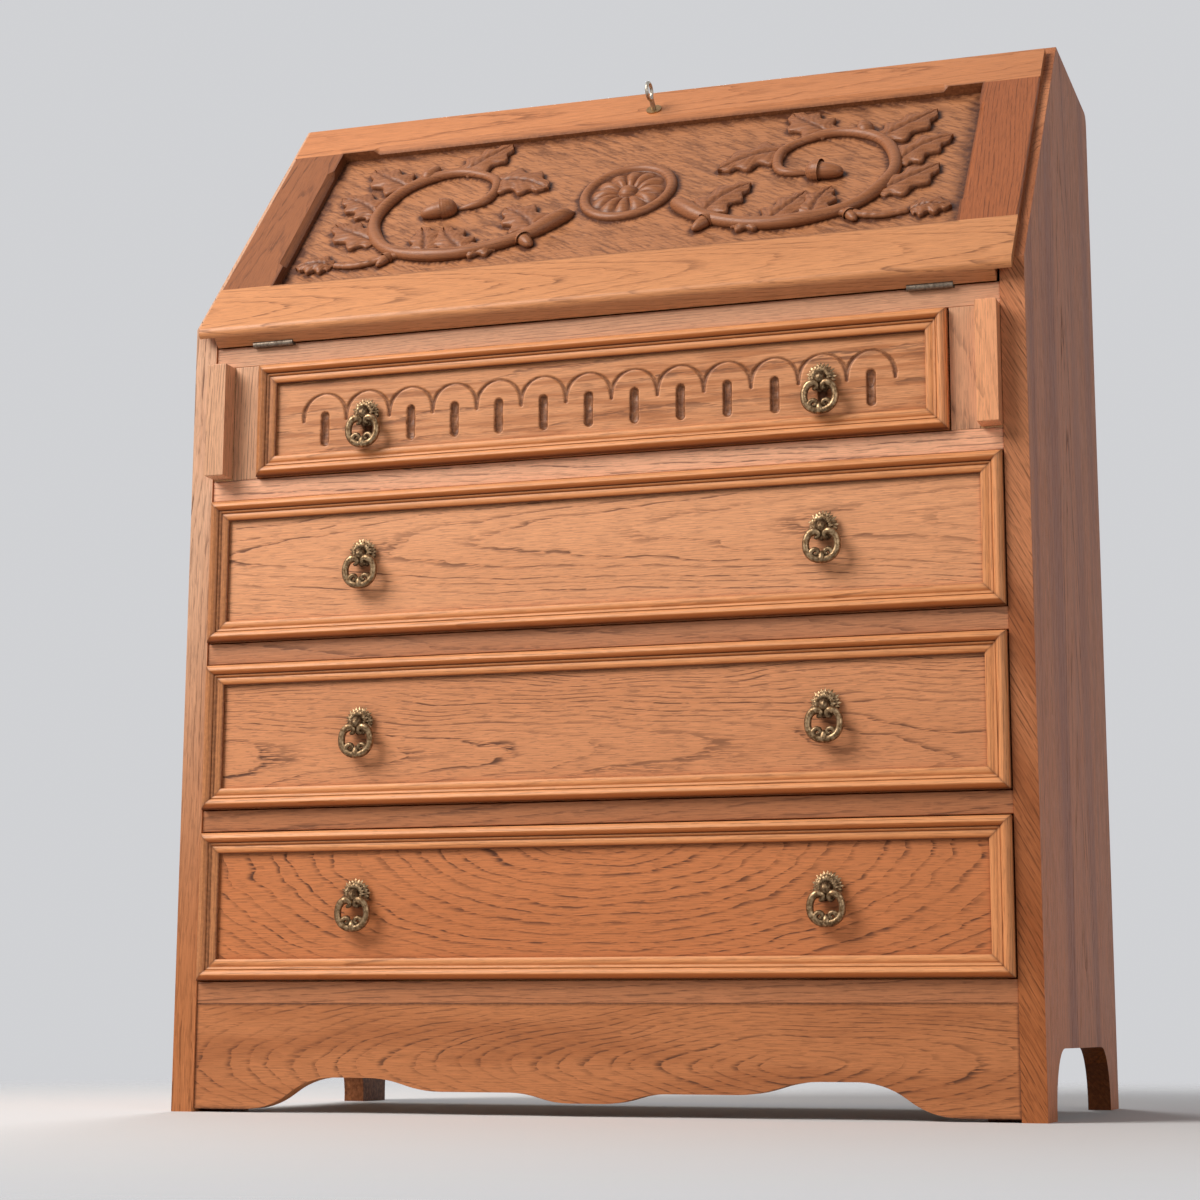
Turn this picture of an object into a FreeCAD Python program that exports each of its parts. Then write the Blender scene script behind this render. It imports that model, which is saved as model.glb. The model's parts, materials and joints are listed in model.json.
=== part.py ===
import FreeCAD, Part
import math
import os

V = FreeCAD.Vector

# A fall-front writing bureau in oak. Millimetres, X to the right, Y to the back, Z up.
# The origin is on the floor, under the middle of the whole bureau with its pulls.

# Carcass
WIDTH = 812.0
DEPTH = 450.0
HEIGHT = 1035.0
WRITING_SHARE = 0.7034
LOWER_OPENING_SHARE = 0.2625
SIDE_T = 22.0
TOP_T = 20.0
BACK_T = 6.0
BACK_REBATE = 10.0
TOP_BACK_RADIUS = 12.0
RAIL_T = 20.0
RAIL_DEPTH = 60.0
RAIL_RECESS = 2.0
BED_T = 20.0
APRON_HEIGHT = 98.5
APRON_T = 18.0
CORNER_BLOCK = 32.0
LOWER_DRAWERS = 3
RUNNER_W = 24.0
PARTITION_T = 26.0
OVERRUN = 5.0

# Cut-out that leaves two feet on each side
FOOT_FRONT = 52.0
FOOT_REAR = 58.0
ARCH_HEIGHT = 60.5
ARCH_RADIUS = 54.0

# Scrolled lower edge of the apron, from the centre outwards:
# places as shares of half the inside width, heights as shares of the apron's height
APRON_EDGE_SHARES = ((0.04, 0.115), (0.19, 0.206), (0.36, 0.206), (0.55, 0.325), (0.64, 0.325), (0.86, 0.03))

# Sloping fall, hinged at the front of the writing bed
SLOPE_TOP_DEPTH = 242.0
FALL_T = 20.0
FALL_BODY_T = 12.4
FALL_TOP_MARGIN = 12.0
FALL_GAP = 2.5
FALL_LIP_INSET = 9.0
FALL_TOP_RAIL = 57.0
FALL_BOTTOM_RAIL = 74.0
FALL_STILE = 56.0
FALL_NOSE_R = 8.0
FALL_ARRIS_R = 2.5
PANEL_T = 10.0
PANEL_TONGUE = 8.0
PANEL_TONGUE_T = 4.0
CHAMFER = 6.0
CHAMFER_STOP = 34.0

# Butt hinges of the fall
HINGE_PROUD = 1.5
HINGE_INSET = 62.0
HINGE_LENGTH = 42.0
KNUCKLES = 5
KNUCKLE_R = 3.0
KNUCKLE_GAP = 0.2
LEAF_T = 2.0
LEAF_W = 22.0
PIN_R = 1.3
RUNNING_FIT = 0.05
KNUCKLE_CLEAR = 0.5

# Lock, its bolt, strike, keyhole bush and key
LOCK_W = 50.0
LOCK_H = 31.0
LOCK_T = 12.0
BOLT_W = 24.0
BOLT_T = 5.0
BOLT_WALL = 2.0
BOLT_THROW = 12.0
BOLT_CLEAR = 0.3
KEY_DROP = 21.0
KEY_R = 2.6
KEY_TAIL = 3.0
KEY_REACH = 22.0
BOW_R = 8.5
BOW_WIRE_R = 1.8
BIT_R = 5.5
BIT_T = 2.0
BIT_CLEAR = 0.7
BUSH_R = 5.0
BUSH_RIM_R = 8.0
BUSH_RIM_T = 1.2
STRIKE_W = 44.0
STRIKE_MARGIN = 0.3
STRIKE_T = 2.0

# Pull-out lopers that carry the open fall
LOPER_SLOT = 20.5
LOPER_CLEAR = 0.5
LOPER_TOP_CLEAR = 0.4
LOPER_LENGTH = 390.0
LOPER_BLOCK_PROUD = 19.0
LOPER_BLOCK_LIFT = 1.5

# Drawers
DRAWER_GAP = 1.5
DRAWER_LIFT = 1.0
DRAWER_FRONT_T = 18.0
DRAWER_SIDE_T = 10.0
DRAWER_SIDE_DROP = 18.0
DRAWER_BACK_SPACE = 40.0
DRAWER_BOTTOM_T = 5.0
DRAWER_BOTTOM_RAISE = 10.0
DRAWER_GROOVE = 5.0
STOP_W = 40.0
STOP_DEPTH = 20.0
STOP_T = 6.0

# Applied moulding round each drawer front. Its section runs inwards from the drawer's edge:
# a broad nosing, a fillet between two quirks, and an inner bead, as shares of width and height
MOULD_W = 19.0
MOULD_H = 8.0
NOSING_SHARES = ((0.0, 0.40), (0.085, 0.86), (0.25, 1.0), (0.40, 0.90), (0.47, 0.625))
FILLET_SHARES = ((0.47, 0.49), (0.54, 0.49), (0.54, 0.625), (0.65, 0.625), (0.65, 0.525), (0.71, 0.525))
BEAD_SHARES = ((0.71, 0.525), (0.85, 0.775), (1.0, 0.40))

# Carved arcade on the upper drawer
ARCHES = 13
ARCHES_BETWEEN_PULLS = 10
ARCH_GROOVE = 4.0
ARCH_RISE = 4.0
ARCH_LEG = 3.0
SLOT_W = 9.0
SLOT_H = 34.5
SLOT_DROP = 8.1
CARVE_DEPTH = 2.5

# Drop-ring pulls
PULL_SPACING_SHARE = 0.547
PULL_RISE_LOWER = 6.3
PULL_RISE_UPPER = -4.0
ROSE_R = 12.0
ROSE_LOBES = 11
ROSE_LOBE_R = 3.2
ROSE_RISE = 2.5
ROSE_T = 3.0
DOME_R = 9.0
DOME_H = 3.5
EYE_REACH = 11.5
EYE_R = 5.2
EYE_T = 5.0
NECK_R = 3.0
RING_R = 14.5
RING_WIRE_R = 2.9
RING_CLEAR = 0.5

# Pigeonholes at the back of the desk space
PIGEONHOLES = 5
PIGEON_DEPTH = 185.0
SHELF_RISE_SHARE = 0.523
SHELF_T = 9.0
DIVIDER_T = 7.0
DIVIDER_SCOOP = 22.0

# Levels and planes worked out from the sizes above
HALF = WIDTH / 2
INSIDE = HALF - SIDE_T
PULL_REACH = EYE_REACH + max(EYE_R, RING_WIRE_R)
FRONT_REACH = max(PULL_REACH, LOPER_BLOCK_PROUD)
FRONT = (FRONT_REACH - DEPTH) / 2
REAR = FRONT + DEPTH
BACK_FACE = REAR - BACK_T
RAIL_FRONT = FRONT + RAIL_RECESS
RAIL_REAR = RAIL_FRONT + RAIL_DEPTH
WRITING_Z = HEIGHT * WRITING_SHARE
BED_Z = WRITING_Z - BED_T
DRAWER_SPACE = BED_Z - APRON_HEIGHT - (LOWER_DRAWERS + 1) * RAIL_T
LOWER_OPENING = DRAWER_SPACE * LOWER_OPENING_SHARE
UPPER_OPENING = DRAWER_SPACE - LOWER_DRAWERS * LOWER_OPENING
RAIL_Z = [APRON_HEIGHT + i * (LOWER_OPENING + RAIL_T) for i in range(LOWER_DRAWERS + 1)]
SHELF_Z = WRITING_Z + (HEIGHT - TOP_T - WRITING_Z) * SHELF_RISE_SHARE
PULL_SPACING = WIDTH * PULL_SPACING_SHARE
ARCH_PITCH = PULL_SPACING / ARCHES_BETWEEN_PULLS
PARTITION_OUT = INSIDE - LOPER_SLOT
PARTITION_IN = PARTITION_OUT - PARTITION_T

# The slope's own frame: y runs up the slope from the hinge axis and z points out of it,
# so that the fall's inner face is z = 0, its lower edge is y = 0 and its lip starts on the slope
HINGE_AXIS = V(0, FRONT - HINGE_PROUD, WRITING_Z)
SLOPE_END = V(0, FRONT + SLOPE_TOP_DEPTH, HEIGHT)
FALL_REACH = SLOPE_END - HINGE_AXIS
SLOPE_ANGLE = math.atan2(FALL_REACH.z, FALL_REACH.y) - math.asin(FALL_BODY_T / FALL_REACH.Length)
SLOPE_START = V(0, FRONT, HEIGHT - SLOPE_TOP_DEPTH * math.tan(SLOPE_ANGLE))
UP_SLOPE = V(0, math.cos(SLOPE_ANGLE), math.sin(SLOPE_ANGLE))
OFF_SLOPE = V(0, -math.sin(SLOPE_ANGLE), math.cos(SLOPE_ANGLE))
SLOPE_END_Y = FALL_REACH.dot(UP_SLOPE)
LIP_TOP = SLOPE_END_Y - FALL_TOP_MARGIN
BODY_TOP = SLOPE_END_Y - TOP_T / math.sin(SLOPE_ANGLE) - FALL_GAP
LIP_HALF = HALF - FALL_LIP_INSET
BODY_HALF = INSIDE - FALL_GAP
PANEL_LOW = FALL_BOTTOM_RAIL
PANEL_HIGH = LIP_TOP - FALL_TOP_RAIL
PANEL_HALF = LIP_HALF - FALL_STILE
KEY_Y = BODY_TOP - KEY_DROP


def box(x0, x1, y0, y1, z0, z1):
    return Part.makeBox(x1 - x0, y1 - y0, z1 - z0, V(x0, y0, z0))


def cylinder(radius, start, end):
    return Part.makeCylinder(radius, (end - start).Length, start, end - start)


def prism(edges, depth):
    return Part.Face(Part.Wire(edges)).extrude(depth)


def outline(points):
    return [Part.LineSegment(a, b).toShape() for a, b in zip(points, points[1:])]


def mirrored(shape):
    return shape.mirror(V(), V(1, 0, 0))


def both_sides(shape):
    return [shape, mirrored(shape)]


def joined(shapes):
    return shapes[0].fuse(shapes[1:]).removeSplitter()


def on_slope(shape):
    placed = shape.copy()
    placed.rotate(V(), V(1, 0, 0), math.degrees(SLOPE_ANGLE))
    placed.translate(HINGE_AXIS)
    return placed


def save(node, shapes):
    solids = [solid for shape in shapes for solid in shape.Solids]
    whole = solids[0] if len(solids) == 1 else Part.makeCompound(solids)
    whole.exportStep("parts/" + node + ".step")


def level_arc(start, end):
    # An arc that leaves its start level with the floor and reaches the end point
    half = (end - start) / 2
    tilt = math.tan(math.atan2(half.z, abs(half.x)) / 2)
    return Part.Arc(start, start + V(half.x, 0, abs(half.x) * tilt), end).toShape()


def ogee(start, end):
    # Two arcs of opposite bend that meet halfway, level at both ends
    middle = (start + end) / 2
    return [level_arc(start, middle), level_arc(end, middle)]


# Carcass


def side_panel():
    # Outline seen from the left: front edge, slope, top with an eased corner, back edge and foot arch
    arch_front = FRONT + FOOT_FRONT
    arch_rear = REAR - FOOT_REAR
    bend = math.sqrt(0.5)
    top_corner = V(0, REAR - TOP_BACK_RADIUS, HEIGHT - TOP_BACK_RADIUS)
    rear_arch = V(0, arch_rear - ARCH_RADIUS, ARCH_HEIGHT - ARCH_RADIUS)
    front_arch = V(0, arch_front + ARCH_RADIUS, ARCH_HEIGHT - ARCH_RADIUS)

    def around(centre, radius, y, z):
        return centre + V(0, radius * y, radius * z)

    def corner(centre, radius, first, last):
        middle = (first[0] * bend + last[0] * bend, first[1] * bend + last[1] * bend)
        points = [around(centre, radius, *way) for way in (first, middle, last)]
        return Part.Arc(*points).toShape()

    up, back, front = (0, 1), (1, 0), (-1, 0)
    edges = outline([V(0, FRONT, 0), SLOPE_START, SLOPE_END, around(top_corner, TOP_BACK_RADIUS, *up)])
    edges.append(corner(top_corner, TOP_BACK_RADIUS, up, back))
    edges += outline([around(top_corner, TOP_BACK_RADIUS, *back), V(0, REAR, 0), V(0, arch_rear, 0),
                      around(rear_arch, ARCH_RADIUS, *back)])
    edges.append(corner(rear_arch, ARCH_RADIUS, back, up))
    edges += outline([around(rear_arch, ARCH_RADIUS, *up), around(front_arch, ARCH_RADIUS, *up)])
    edges.append(corner(front_arch, ARCH_RADIUS, up, front))
    edges += outline([around(front_arch, ARCH_RADIUS, *front), V(0, arch_front, 0), V(0, FRONT, 0)])
    panel = prism(edges, V(SIDE_T, 0, 0))
    panel.translate(V(-HALF, 0, 0))
    back_top = HEIGHT - TOP_T + BACK_REBATE
    rebate = box(-INSIDE - BACK_REBATE, -INSIDE + OVERRUN, BACK_FACE, REAR + OVERRUN, APRON_HEIGHT, back_top)
    return panel.cut(rebate)


def bolt_way():
    # Straight mortise that the bolt shoots into, through the strike and into the top board
    half = BOLT_W / 2 + BOLT_CLEAR
    outer = LOCK_T - BOLT_WALL + BOLT_CLEAR
    inner = LOCK_T - BOLT_WALL - BOLT_T - BOLT_CLEAR
    return on_slope(box(-half, half, BODY_TOP, BODY_TOP + BOLT_THROW + FALL_GAP, inner, outer))


def strike_plate():
    # Let into the underside of the top board, with the bolt's way through it
    underside = HEIGHT - TOP_T
    way = bolt_way().BoundBox
    half = STRIKE_W / 2
    front = SLOPE_END.y - (TOP_T - STRIKE_T) / math.tan(SLOPE_ANGLE) + STRIKE_MARGIN
    return box(-half, half, front, way.YMax + STRIKE_T, underside, underside + STRIKE_T)


def top_board():
    underside = HEIGHT - TOP_T
    low_front = SLOPE_END.y - TOP_T / math.tan(SLOPE_ANGLE)
    section = [(low_front, underside), (SLOPE_END.y, HEIGHT), (REAR, HEIGHT), (REAR, underside)]
    edges = outline([V(-INSIDE, y, z) for y, z in section + section[:1]])
    board = prism(edges, V(2 * INSIDE, 0, 0))
    rebate = box(-HALF, HALF, BACK_FACE, REAR + OVERRUN, underside - OVERRUN, underside + BACK_REBATE)
    return board.cut([rebate, strike_plate(), bolt_way()])


def apron():
    points = [V(x * INSIDE, RAIL_FRONT, z * APRON_HEIGHT) for x, z in APRON_EDGE_SHARES]
    half_edge = []
    for start, end in zip(points, points[1:]):
        level = start.z == end.z
        half_edge += outline([start, end]) if level else ogee(start, end)
    foot = V(INSIDE, RAIL_FRONT, points[-1].z)
    corner = V(INSIDE, RAIL_FRONT, APRON_HEIGHT)
    half_edge += outline([points[-1], foot, corner])
    edges = half_edge + [mirrored(edge) for edge in half_edge]
    edges += outline([mirror_point(points[0]), points[0]])
    edges += outline([mirror_point(corner), corner])
    return prism(Part.__sortEdges__(edges), V(0, APRON_T, 0))


def mirror_point(point):
    return V(-point.x, point.y, point.z)


def hinge_places():
    return [-INSIDE + HINGE_INSET, INSIDE - HINGE_INSET]


def knuckle_spans(centre):
    step = HINGE_LENGTH / KNUCKLES
    first = centre - HINGE_LENGTH / 2
    return [(first + i * step, first + (i + 1) * step - KNUCKLE_GAP) for i in range(KNUCKLES)]


def hinge_leaf(centre, parity):
    # One leaf in a frame whose origin is the pin and whose y runs across the leaf, top face at z = 0.
    # Its own knuckles are every second one.
    half = HINGE_LENGTH / 2
    inner_edge = KNUCKLE_R + KNUCKLE_CLEAR
    pieces = [box(centre - half, centre + half, inner_edge, LEAF_W, -LEAF_T, 0)]
    for x0, x1 in knuckle_spans(centre)[parity::2]:
        pieces.append(cylinder(KNUCKLE_R, V(x0, 0, 0), V(x1, 0, 0)))
        pieces.append(box(x0, x1, 0, inner_edge, -LEAF_T, 0))
    bore = cylinder(PIN_R + RUNNING_FIT, V(centre - HINGE_LENGTH, 0, 0), V(centre + HINGE_LENGTH, 0, 0))
    return joined(pieces).cut(bore)


def leaf_recess(centre):
    half = HINGE_LENGTH / 2
    return box(centre - half, centre + half, 0, LEAF_W, -LEAF_T, OVERRUN)


def hinge_rail():
    rail = box(-INSIDE, INSIDE, RAIL_FRONT, RAIL_REAR, BED_Z, WRITING_Z)
    recesses = [leaf_recess(x).translated(HINGE_AXIS) for x in hinge_places()]
    return rail.cut(recesses)


def bed_leaves():
    pieces = []
    for x in hinge_places():
        pieces.append(hinge_leaf(x, 0).translated(HINGE_AXIS))
    return pieces


def hinge_pins():
    half = V(HINGE_LENGTH / 2, 0, 0)
    centres = [HINGE_AXIS + V(x, 0, 0) for x in hinge_places()]
    return [cylinder(PIN_R, centre - half, centre + half) for centre in centres]


def runner_places():
    widths = [RUNNER_W] * LOWER_DRAWERS + [INSIDE - PARTITION_IN + RUNNER_W]
    return zip(RAIL_Z, widths)


def runners():
    pieces = []
    for z, width in runner_places():
        pieces += both_sides(box(INSIDE - width, INSIDE, RAIL_REAR, BACK_FACE, z, z + RAIL_T))
    return pieces


def drawer_stops():
    pieces = []
    stop_front = FRONT + DRAWER_FRONT_T
    left = (PULL_SPACING - STOP_W) / 2
    for z in RAIL_Z:
        top = z + RAIL_T
        pieces += both_sides(box(left, left + STOP_W, stop_front, stop_front + STOP_DEPTH, top, top + STOP_T))
    return pieces


def divider(x):
    # Upright with a hollow scooped out of its front edge
    front = BACK_FACE - PIGEON_DEPTH
    left = x - DIVIDER_T / 2
    foot = V(left, front, WRITING_Z)
    head = V(left, front, SHELF_Z)
    hollow = (foot + head) / 2 + V(0, DIVIDER_SCOOP, 0)
    edges = [Part.Arc(foot, hollow, head).toShape()]
    edges += outline([head, V(left, BACK_FACE, SHELF_Z), V(left, BACK_FACE, WRITING_Z), foot])
    return prism(edges, V(DIVIDER_T, 0, 0))


def dividers():
    step = 2 * INSIDE / PIGEONHOLES
    return [divider(-INSIDE + i * step) for i in range(1, PIGEONHOLES)]


def build_carcass():
    left = side_panel()
    save("side_left", [left])
    save("side_right", [mirrored(left)])
    save("top_board", [top_board()])
    save("lock_strike", [strike_plate().cut(bolt_way())])
    back_half = INSIDE + BACK_REBATE
    back_top = HEIGHT - TOP_T + BACK_REBATE
    save("back_panel", [box(-back_half, back_half, BACK_FACE, REAR, APRON_HEIGHT, back_top)])
    save("hinge_rail", [hinge_rail()])
    save("writing_bed", [box(-INSIDE, INSIDE, RAIL_REAR, BACK_FACE, BED_Z, WRITING_Z)])
    save("drawer_rails", [box(-INSIDE, INSIDE, RAIL_FRONT, RAIL_REAR, z, z + RAIL_T) for z in RAIL_Z])
    save("apron", [apron()])
    block_front = RAIL_FRONT + APRON_T
    block = box(INSIDE - CORNER_BLOCK, INSIDE, block_front, block_front + CORNER_BLOCK, 0, APRON_HEIGHT)
    save("corner_blocks", both_sides(block))
    save("drawer_runners", runners())
    save("drawer_stops", drawer_stops())
    partition = box(PARTITION_IN, PARTITION_OUT, RAIL_FRONT, BACK_FACE, RAIL_Z[-1] + RAIL_T, BED_Z)
    save("loper_partitions", both_sides(partition))
    shelf_front = BACK_FACE - PIGEON_DEPTH
    save("pigeonhole_shelf", [box(-INSIDE, INSIDE, shelf_front, BACK_FACE, SHELF_Z, SHELF_Z + SHELF_T)])
    save("pigeonhole_dividers", dividers())
    save("hinge_bed_leaves", bed_leaves())
    save("hinge_pins", hinge_pins())


# Fall, in the slope's own frame


def fall_slab(x0, x1, low, high):
    # A stretch of the fall's section: the body between the sides, and the lip that laps over them
    body = box(max(x0, -BODY_HALF), min(x1, BODY_HALF), low, min(high, BODY_TOP), 0, FALL_BODY_T)
    lip = box(x0, x1, low, high, FALL_BODY_T, FALL_T)
    return joined([body, lip])


def rounded(shape, radius, picks):
    edges = [edge for edge in shape.Edges if picks(edge)]
    return shape.makeFillet(radius, edges)


def runs_along(edge, x=None, y=None, z=None):
    low = edge.BoundBox.getPoint(0)
    high = edge.BoundBox.getPoint(6)
    spans = ((x, low.x, high.x), (y, low.y, high.y), (z, low.z, high.z))
    ends = [(at, end) for at, *pair in spans if at is not None for end in pair]
    return all(math.isclose(at, end, abs_tol=RUNNING_FIT) for at, end in ends)


def stopped_chamfer(start, end, inward):
    # Cutter for a chamfer along the outer arris from start to end, with a slanted stop at each end.
    # Inward points from the arris across the frame's face.
    along = (end - start).normalize()
    first = start + along * CHAMFER_STOP
    last = end - along * CHAMFER_STOP
    across = (inward + V(0, 0, -1)).normalize()
    face = (inward - V(0, 0, -1)).normalize()
    deep = across * CHAMFER * math.sqrt(0.5)
    wide = face * CHAMFER
    run_in = along * CHAMFER
    points = [first, last, last - run_in + deep, first + run_in + deep, first]
    cutter = prism(outline(points), wide * 2)
    cutter.translate(-wide)
    return cutter


def panel_groove():
    # The panel's tongue, which is also the groove cut for it in the frame
    half = PANEL_HALF + PANEL_TONGUE
    low = (PANEL_T - PANEL_TONGUE_T) / 2
    return box(-half, half, PANEL_LOW - PANEL_TONGUE, PANEL_HIGH + PANEL_TONGUE, low, low + PANEL_TONGUE_T)


def knuckle_notch(centre):
    half = HINGE_LENGTH / 2
    return cylinder(KNUCKLE_R + KNUCKLE_CLEAR, V(centre - half, 0, 0), V(centre + half, 0, 0))


def lock_recess():
    half = LOCK_W / 2
    return box(-half, half, BODY_TOP - LOCK_H, BODY_TOP, 0, LOCK_T)


def key_bore(radius):
    return cylinder(radius, V(0, KEY_Y, -OVERRUN), V(0, KEY_Y, FALL_T + OVERRUN))


def fall_top_rail():
    rail = fall_slab(-LIP_HALF, LIP_HALF, PANEL_HIGH, LIP_TOP)
    rail = rounded(rail, FALL_ARRIS_R, lambda edge: runs_along(edge, y=LIP_TOP, z=FALL_T))
    arris = [V(-PANEL_HALF, PANEL_HIGH, FALL_T), V(PANEL_HALF, PANEL_HIGH, FALL_T)]
    chamfer = stopped_chamfer(arris[0], arris[1], V(0, 1, 0))
    return rail.cut([panel_groove(), lock_recess(), key_bore(BUSH_R), chamfer])


def fall_bottom_rail():
    rail = fall_slab(-LIP_HALF, LIP_HALF, 0, PANEL_LOW)
    rail = rounded(rail, FALL_NOSE_R, lambda edge: runs_along(edge, y=0, z=FALL_T))
    cuts = [panel_groove()]
    for x in hinge_places():
        flat = HINGE_LENGTH / 2
        cuts.append(box(x - flat, x + flat, 0, LEAF_W, -OVERRUN, LEAF_T))
        cuts.append(knuckle_notch(x))
    return rail.cut(cuts)


def fall_stile():
    stile = fall_slab(PANEL_HALF, LIP_HALF, PANEL_LOW, PANEL_HIGH)
    stile = rounded(stile, FALL_ARRIS_R, lambda edge: runs_along(edge, x=LIP_HALF, z=FALL_T))
    chamfer = stopped_chamfer(V(PANEL_HALF, PANEL_LOW, FALL_T), V(PANEL_HALF, PANEL_HIGH, FALL_T), V(1, 0, 0))
    return stile.cut([panel_groove(), chamfer])


def fall_panel():
    plate = box(-PANEL_HALF, PANEL_HALF, PANEL_LOW, PANEL_HIGH, 0, PANEL_T)
    return joined([plate, panel_groove()]).cut(lock_recess())


def fall_leaves():
    # The same leaf turned over, so that it lies in the fall's inner face
    leaves = [hinge_leaf(x, 1) for x in hinge_places()]
    for leaf in leaves:
        leaf.rotate(V(), V(1, 0, 0), 180)
    return [leaf.mirror(V(), V(0, 1, 0)) for leaf in leaves]


def lock_bolt():
    half = BOLT_W / 2
    outer = LOCK_T - BOLT_WALL
    return box(-half, half, KEY_Y + BIT_R + 2 * BIT_CLEAR, BODY_TOP - BOLT_CLEAR, outer - BOLT_T, outer)


def lock_case():
    half = BOLT_W / 2 + BOLT_CLEAR
    outer = LOCK_T - BOLT_WALL
    channel = box(-half, half, KEY_Y, BODY_TOP + OVERRUN, outer - BOLT_T - BOLT_CLEAR, outer + BOLT_CLEAR)
    room = cylinder(BIT_R + BIT_CLEAR, V(0, KEY_Y, KEY_TAIL - BIT_CLEAR), V(0, KEY_Y, outer))
    bore = cylinder(KEY_R + RUNNING_FIT, V(0, KEY_Y, KEY_TAIL), V(0, KEY_Y, LOCK_T + OVERRUN))
    return lock_recess().cut([channel, room, bore])


def keyhole_bush():
    tube = cylinder(BUSH_R, V(0, KEY_Y, LOCK_T), V(0, KEY_Y, FALL_T))
    rim = cylinder(BUSH_RIM_R, V(0, KEY_Y, FALL_T), V(0, KEY_Y, FALL_T + BUSH_RIM_T))
    return joined([tube, rim]).cut(key_bore(KEY_R + RUNNING_FIT))


def key():
    bow_centre = V(0, KEY_Y, FALL_T + KEY_REACH)
    stem = cylinder(KEY_R, V(0, KEY_Y, KEY_TAIL), bow_centre - V(0, 0, BOW_R))
    bow = Part.makeTorus(BOW_R, BOW_WIRE_R, bow_centre, V(1, 0, 0))
    bit_top = LOCK_T - BOLT_WALL - BIT_CLEAR
    bit = box(-BIT_T / 2, BIT_T / 2, KEY_Y - BIT_R, KEY_Y, KEY_TAIL, bit_top)
    return joined([stem, bow, bit])


def build_fall():
    save("fall_top_rail", [on_slope(fall_top_rail())])
    save("fall_bottom_rail", [on_slope(fall_bottom_rail())])
    stile = on_slope(fall_stile())
    save("fall_stile_right", [stile])
    save("fall_stile_left", [mirrored(stile)])
    save("fall_panel", [on_slope(fall_panel())])
    save("hinge_fall_leaves", [on_slope(leaf) for leaf in fall_leaves()])
    save("lock_case", [on_slope(lock_case())])
    save("lock_bolt", [on_slope(lock_bolt())])
    save("keyhole_bush", [on_slope(keyhole_bush())])
    save("key", [on_slope(key())])


# Lopers


def build_lopers():
    x0 = PARTITION_OUT + LOPER_CLEAR
    x1 = INSIDE - LOPER_CLEAR
    low = RAIL_Z[-1] + RAIL_T
    top = BED_Z - LOPER_TOP_CLEAR
    bar = box(x0, x1, RAIL_FRONT, RAIL_FRONT + LOPER_LENGTH, low, top)
    block = box(x0, x1, FRONT - LOPER_BLOCK_PROUD, RAIL_FRONT, low + LOPER_BLOCK_LIFT, top)
    save("loper_right_bar", [bar])
    save("loper_left_bar", [mirrored(bar)])
    save("loper_right_front", [block])
    save("loper_left_front", [mirrored(block)])


# Drawers and their pulls


def moulding_section():
    def at(shares):
        return V(0, -shares[1] * MOULD_H, shares[0] * MOULD_W)

    nosing = [at(pair) for pair in NOSING_SHARES]
    bead = [at(pair) for pair in BEAD_SHARES]
    edges = outline([at((0, 0)), nosing[0]])
    edges.append(Part.Arc(nosing[0], nosing[1], nosing[2]).toShape())
    edges.append(Part.Arc(nosing[2], nosing[3], nosing[4]).toShape())
    edges += outline([nosing[-1]] + [at(pair) for pair in FILLET_SHARES])
    edges.append(Part.Arc(*bead).toShape())
    edges += outline([bead[-1], at((1, 0)), at((0, 0))])
    return edges


def mitred_strip(length):
    # The section carried along x and mitred at both ends; its outer edge lies on z = 0
    strip = prism(moulding_section(), V(length, 0, 0))
    mitre = [V(0, 0, 0), V(length, 0, 0), V(length - MOULD_W, 0, MOULD_W), V(MOULD_W, 0, MOULD_W), V(0, 0, 0)]
    wedge = prism(outline(mitre), V(0, -MOULD_H - OVERRUN, 0))
    strip = strip.common(wedge)
    strip.translate(V(-length / 2, 0, 0))
    return strip


def moulding(half, z0, z1):
    strips = []
    middle = (z0 + z1) / 2
    spans = ((2 * half, middle - z0), (z1 - z0, half)) * 2
    for quarter, (length, offset) in enumerate(spans):
        strip = mitred_strip(length)
        strip.translate(V(0, 0, -offset))
        strip.rotate(V(), V(0, 1, 0), 90 * quarter)
        strip.translate(V(0, FRONT, middle))
        strips.append(strip)
    return strips


def round_ended(x, low, high, width):
    # Upright cutter with round ends, sunk into the drawer's front
    face = FRONT + CARVE_DEPTH
    depth = CARVE_DEPTH + OVERRUN
    centres = [V(x, face, z) for z in (low + width / 2, high - width / 2)]
    ends = [Part.makeCylinder(width / 2, depth, centre, V(0, -1, 0)) for centre in centres]
    body = box(x - width / 2, x + width / 2, face - depth, face, centres[0].z, centres[1].z)
    return joined([body] + ends)


def arcade(z):
    # Cutters for the carved arcade: half-round grooves that meet in shared legs, and a slot under each arch
    radius = ARCH_PITCH / 2
    depth = CARVE_DEPTH + OVERRUN
    face = FRONT + CARVE_DEPTH
    spring = z + ARCH_RISE
    slot_top = z - SLOT_DROP + SLOT_H / 2
    first = -ARCHES * radius
    grooves = [round_ended(first, spring - ARCH_LEG, spring + ARCH_GROOVE / 2, ARCH_GROOVE)]
    slots = []
    for i in range(ARCHES):
        x = first + radius + i * ARCH_PITCH
        centre = V(x, face, spring)
        disc = Part.makeCylinder(radius + ARCH_GROOVE / 2, depth, centre, V(0, -1, 0))
        core = Part.makeCylinder(radius - ARCH_GROOVE / 2, depth, centre, V(0, -1, 0))
        upper = box(x - ARCH_PITCH, x + ARCH_PITCH, face - depth, face, spring, spring + ARCH_PITCH)
        grooves.append(disc.cut(core).common(upper))
        grooves.append(round_ended(x + radius, spring - ARCH_LEG, spring + ARCH_GROOVE / 2, ARCH_GROOVE))
        slots.append(round_ended(x, slot_top - SLOT_H, slot_top, SLOT_W))
    return [joined(grooves)] + slots


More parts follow.
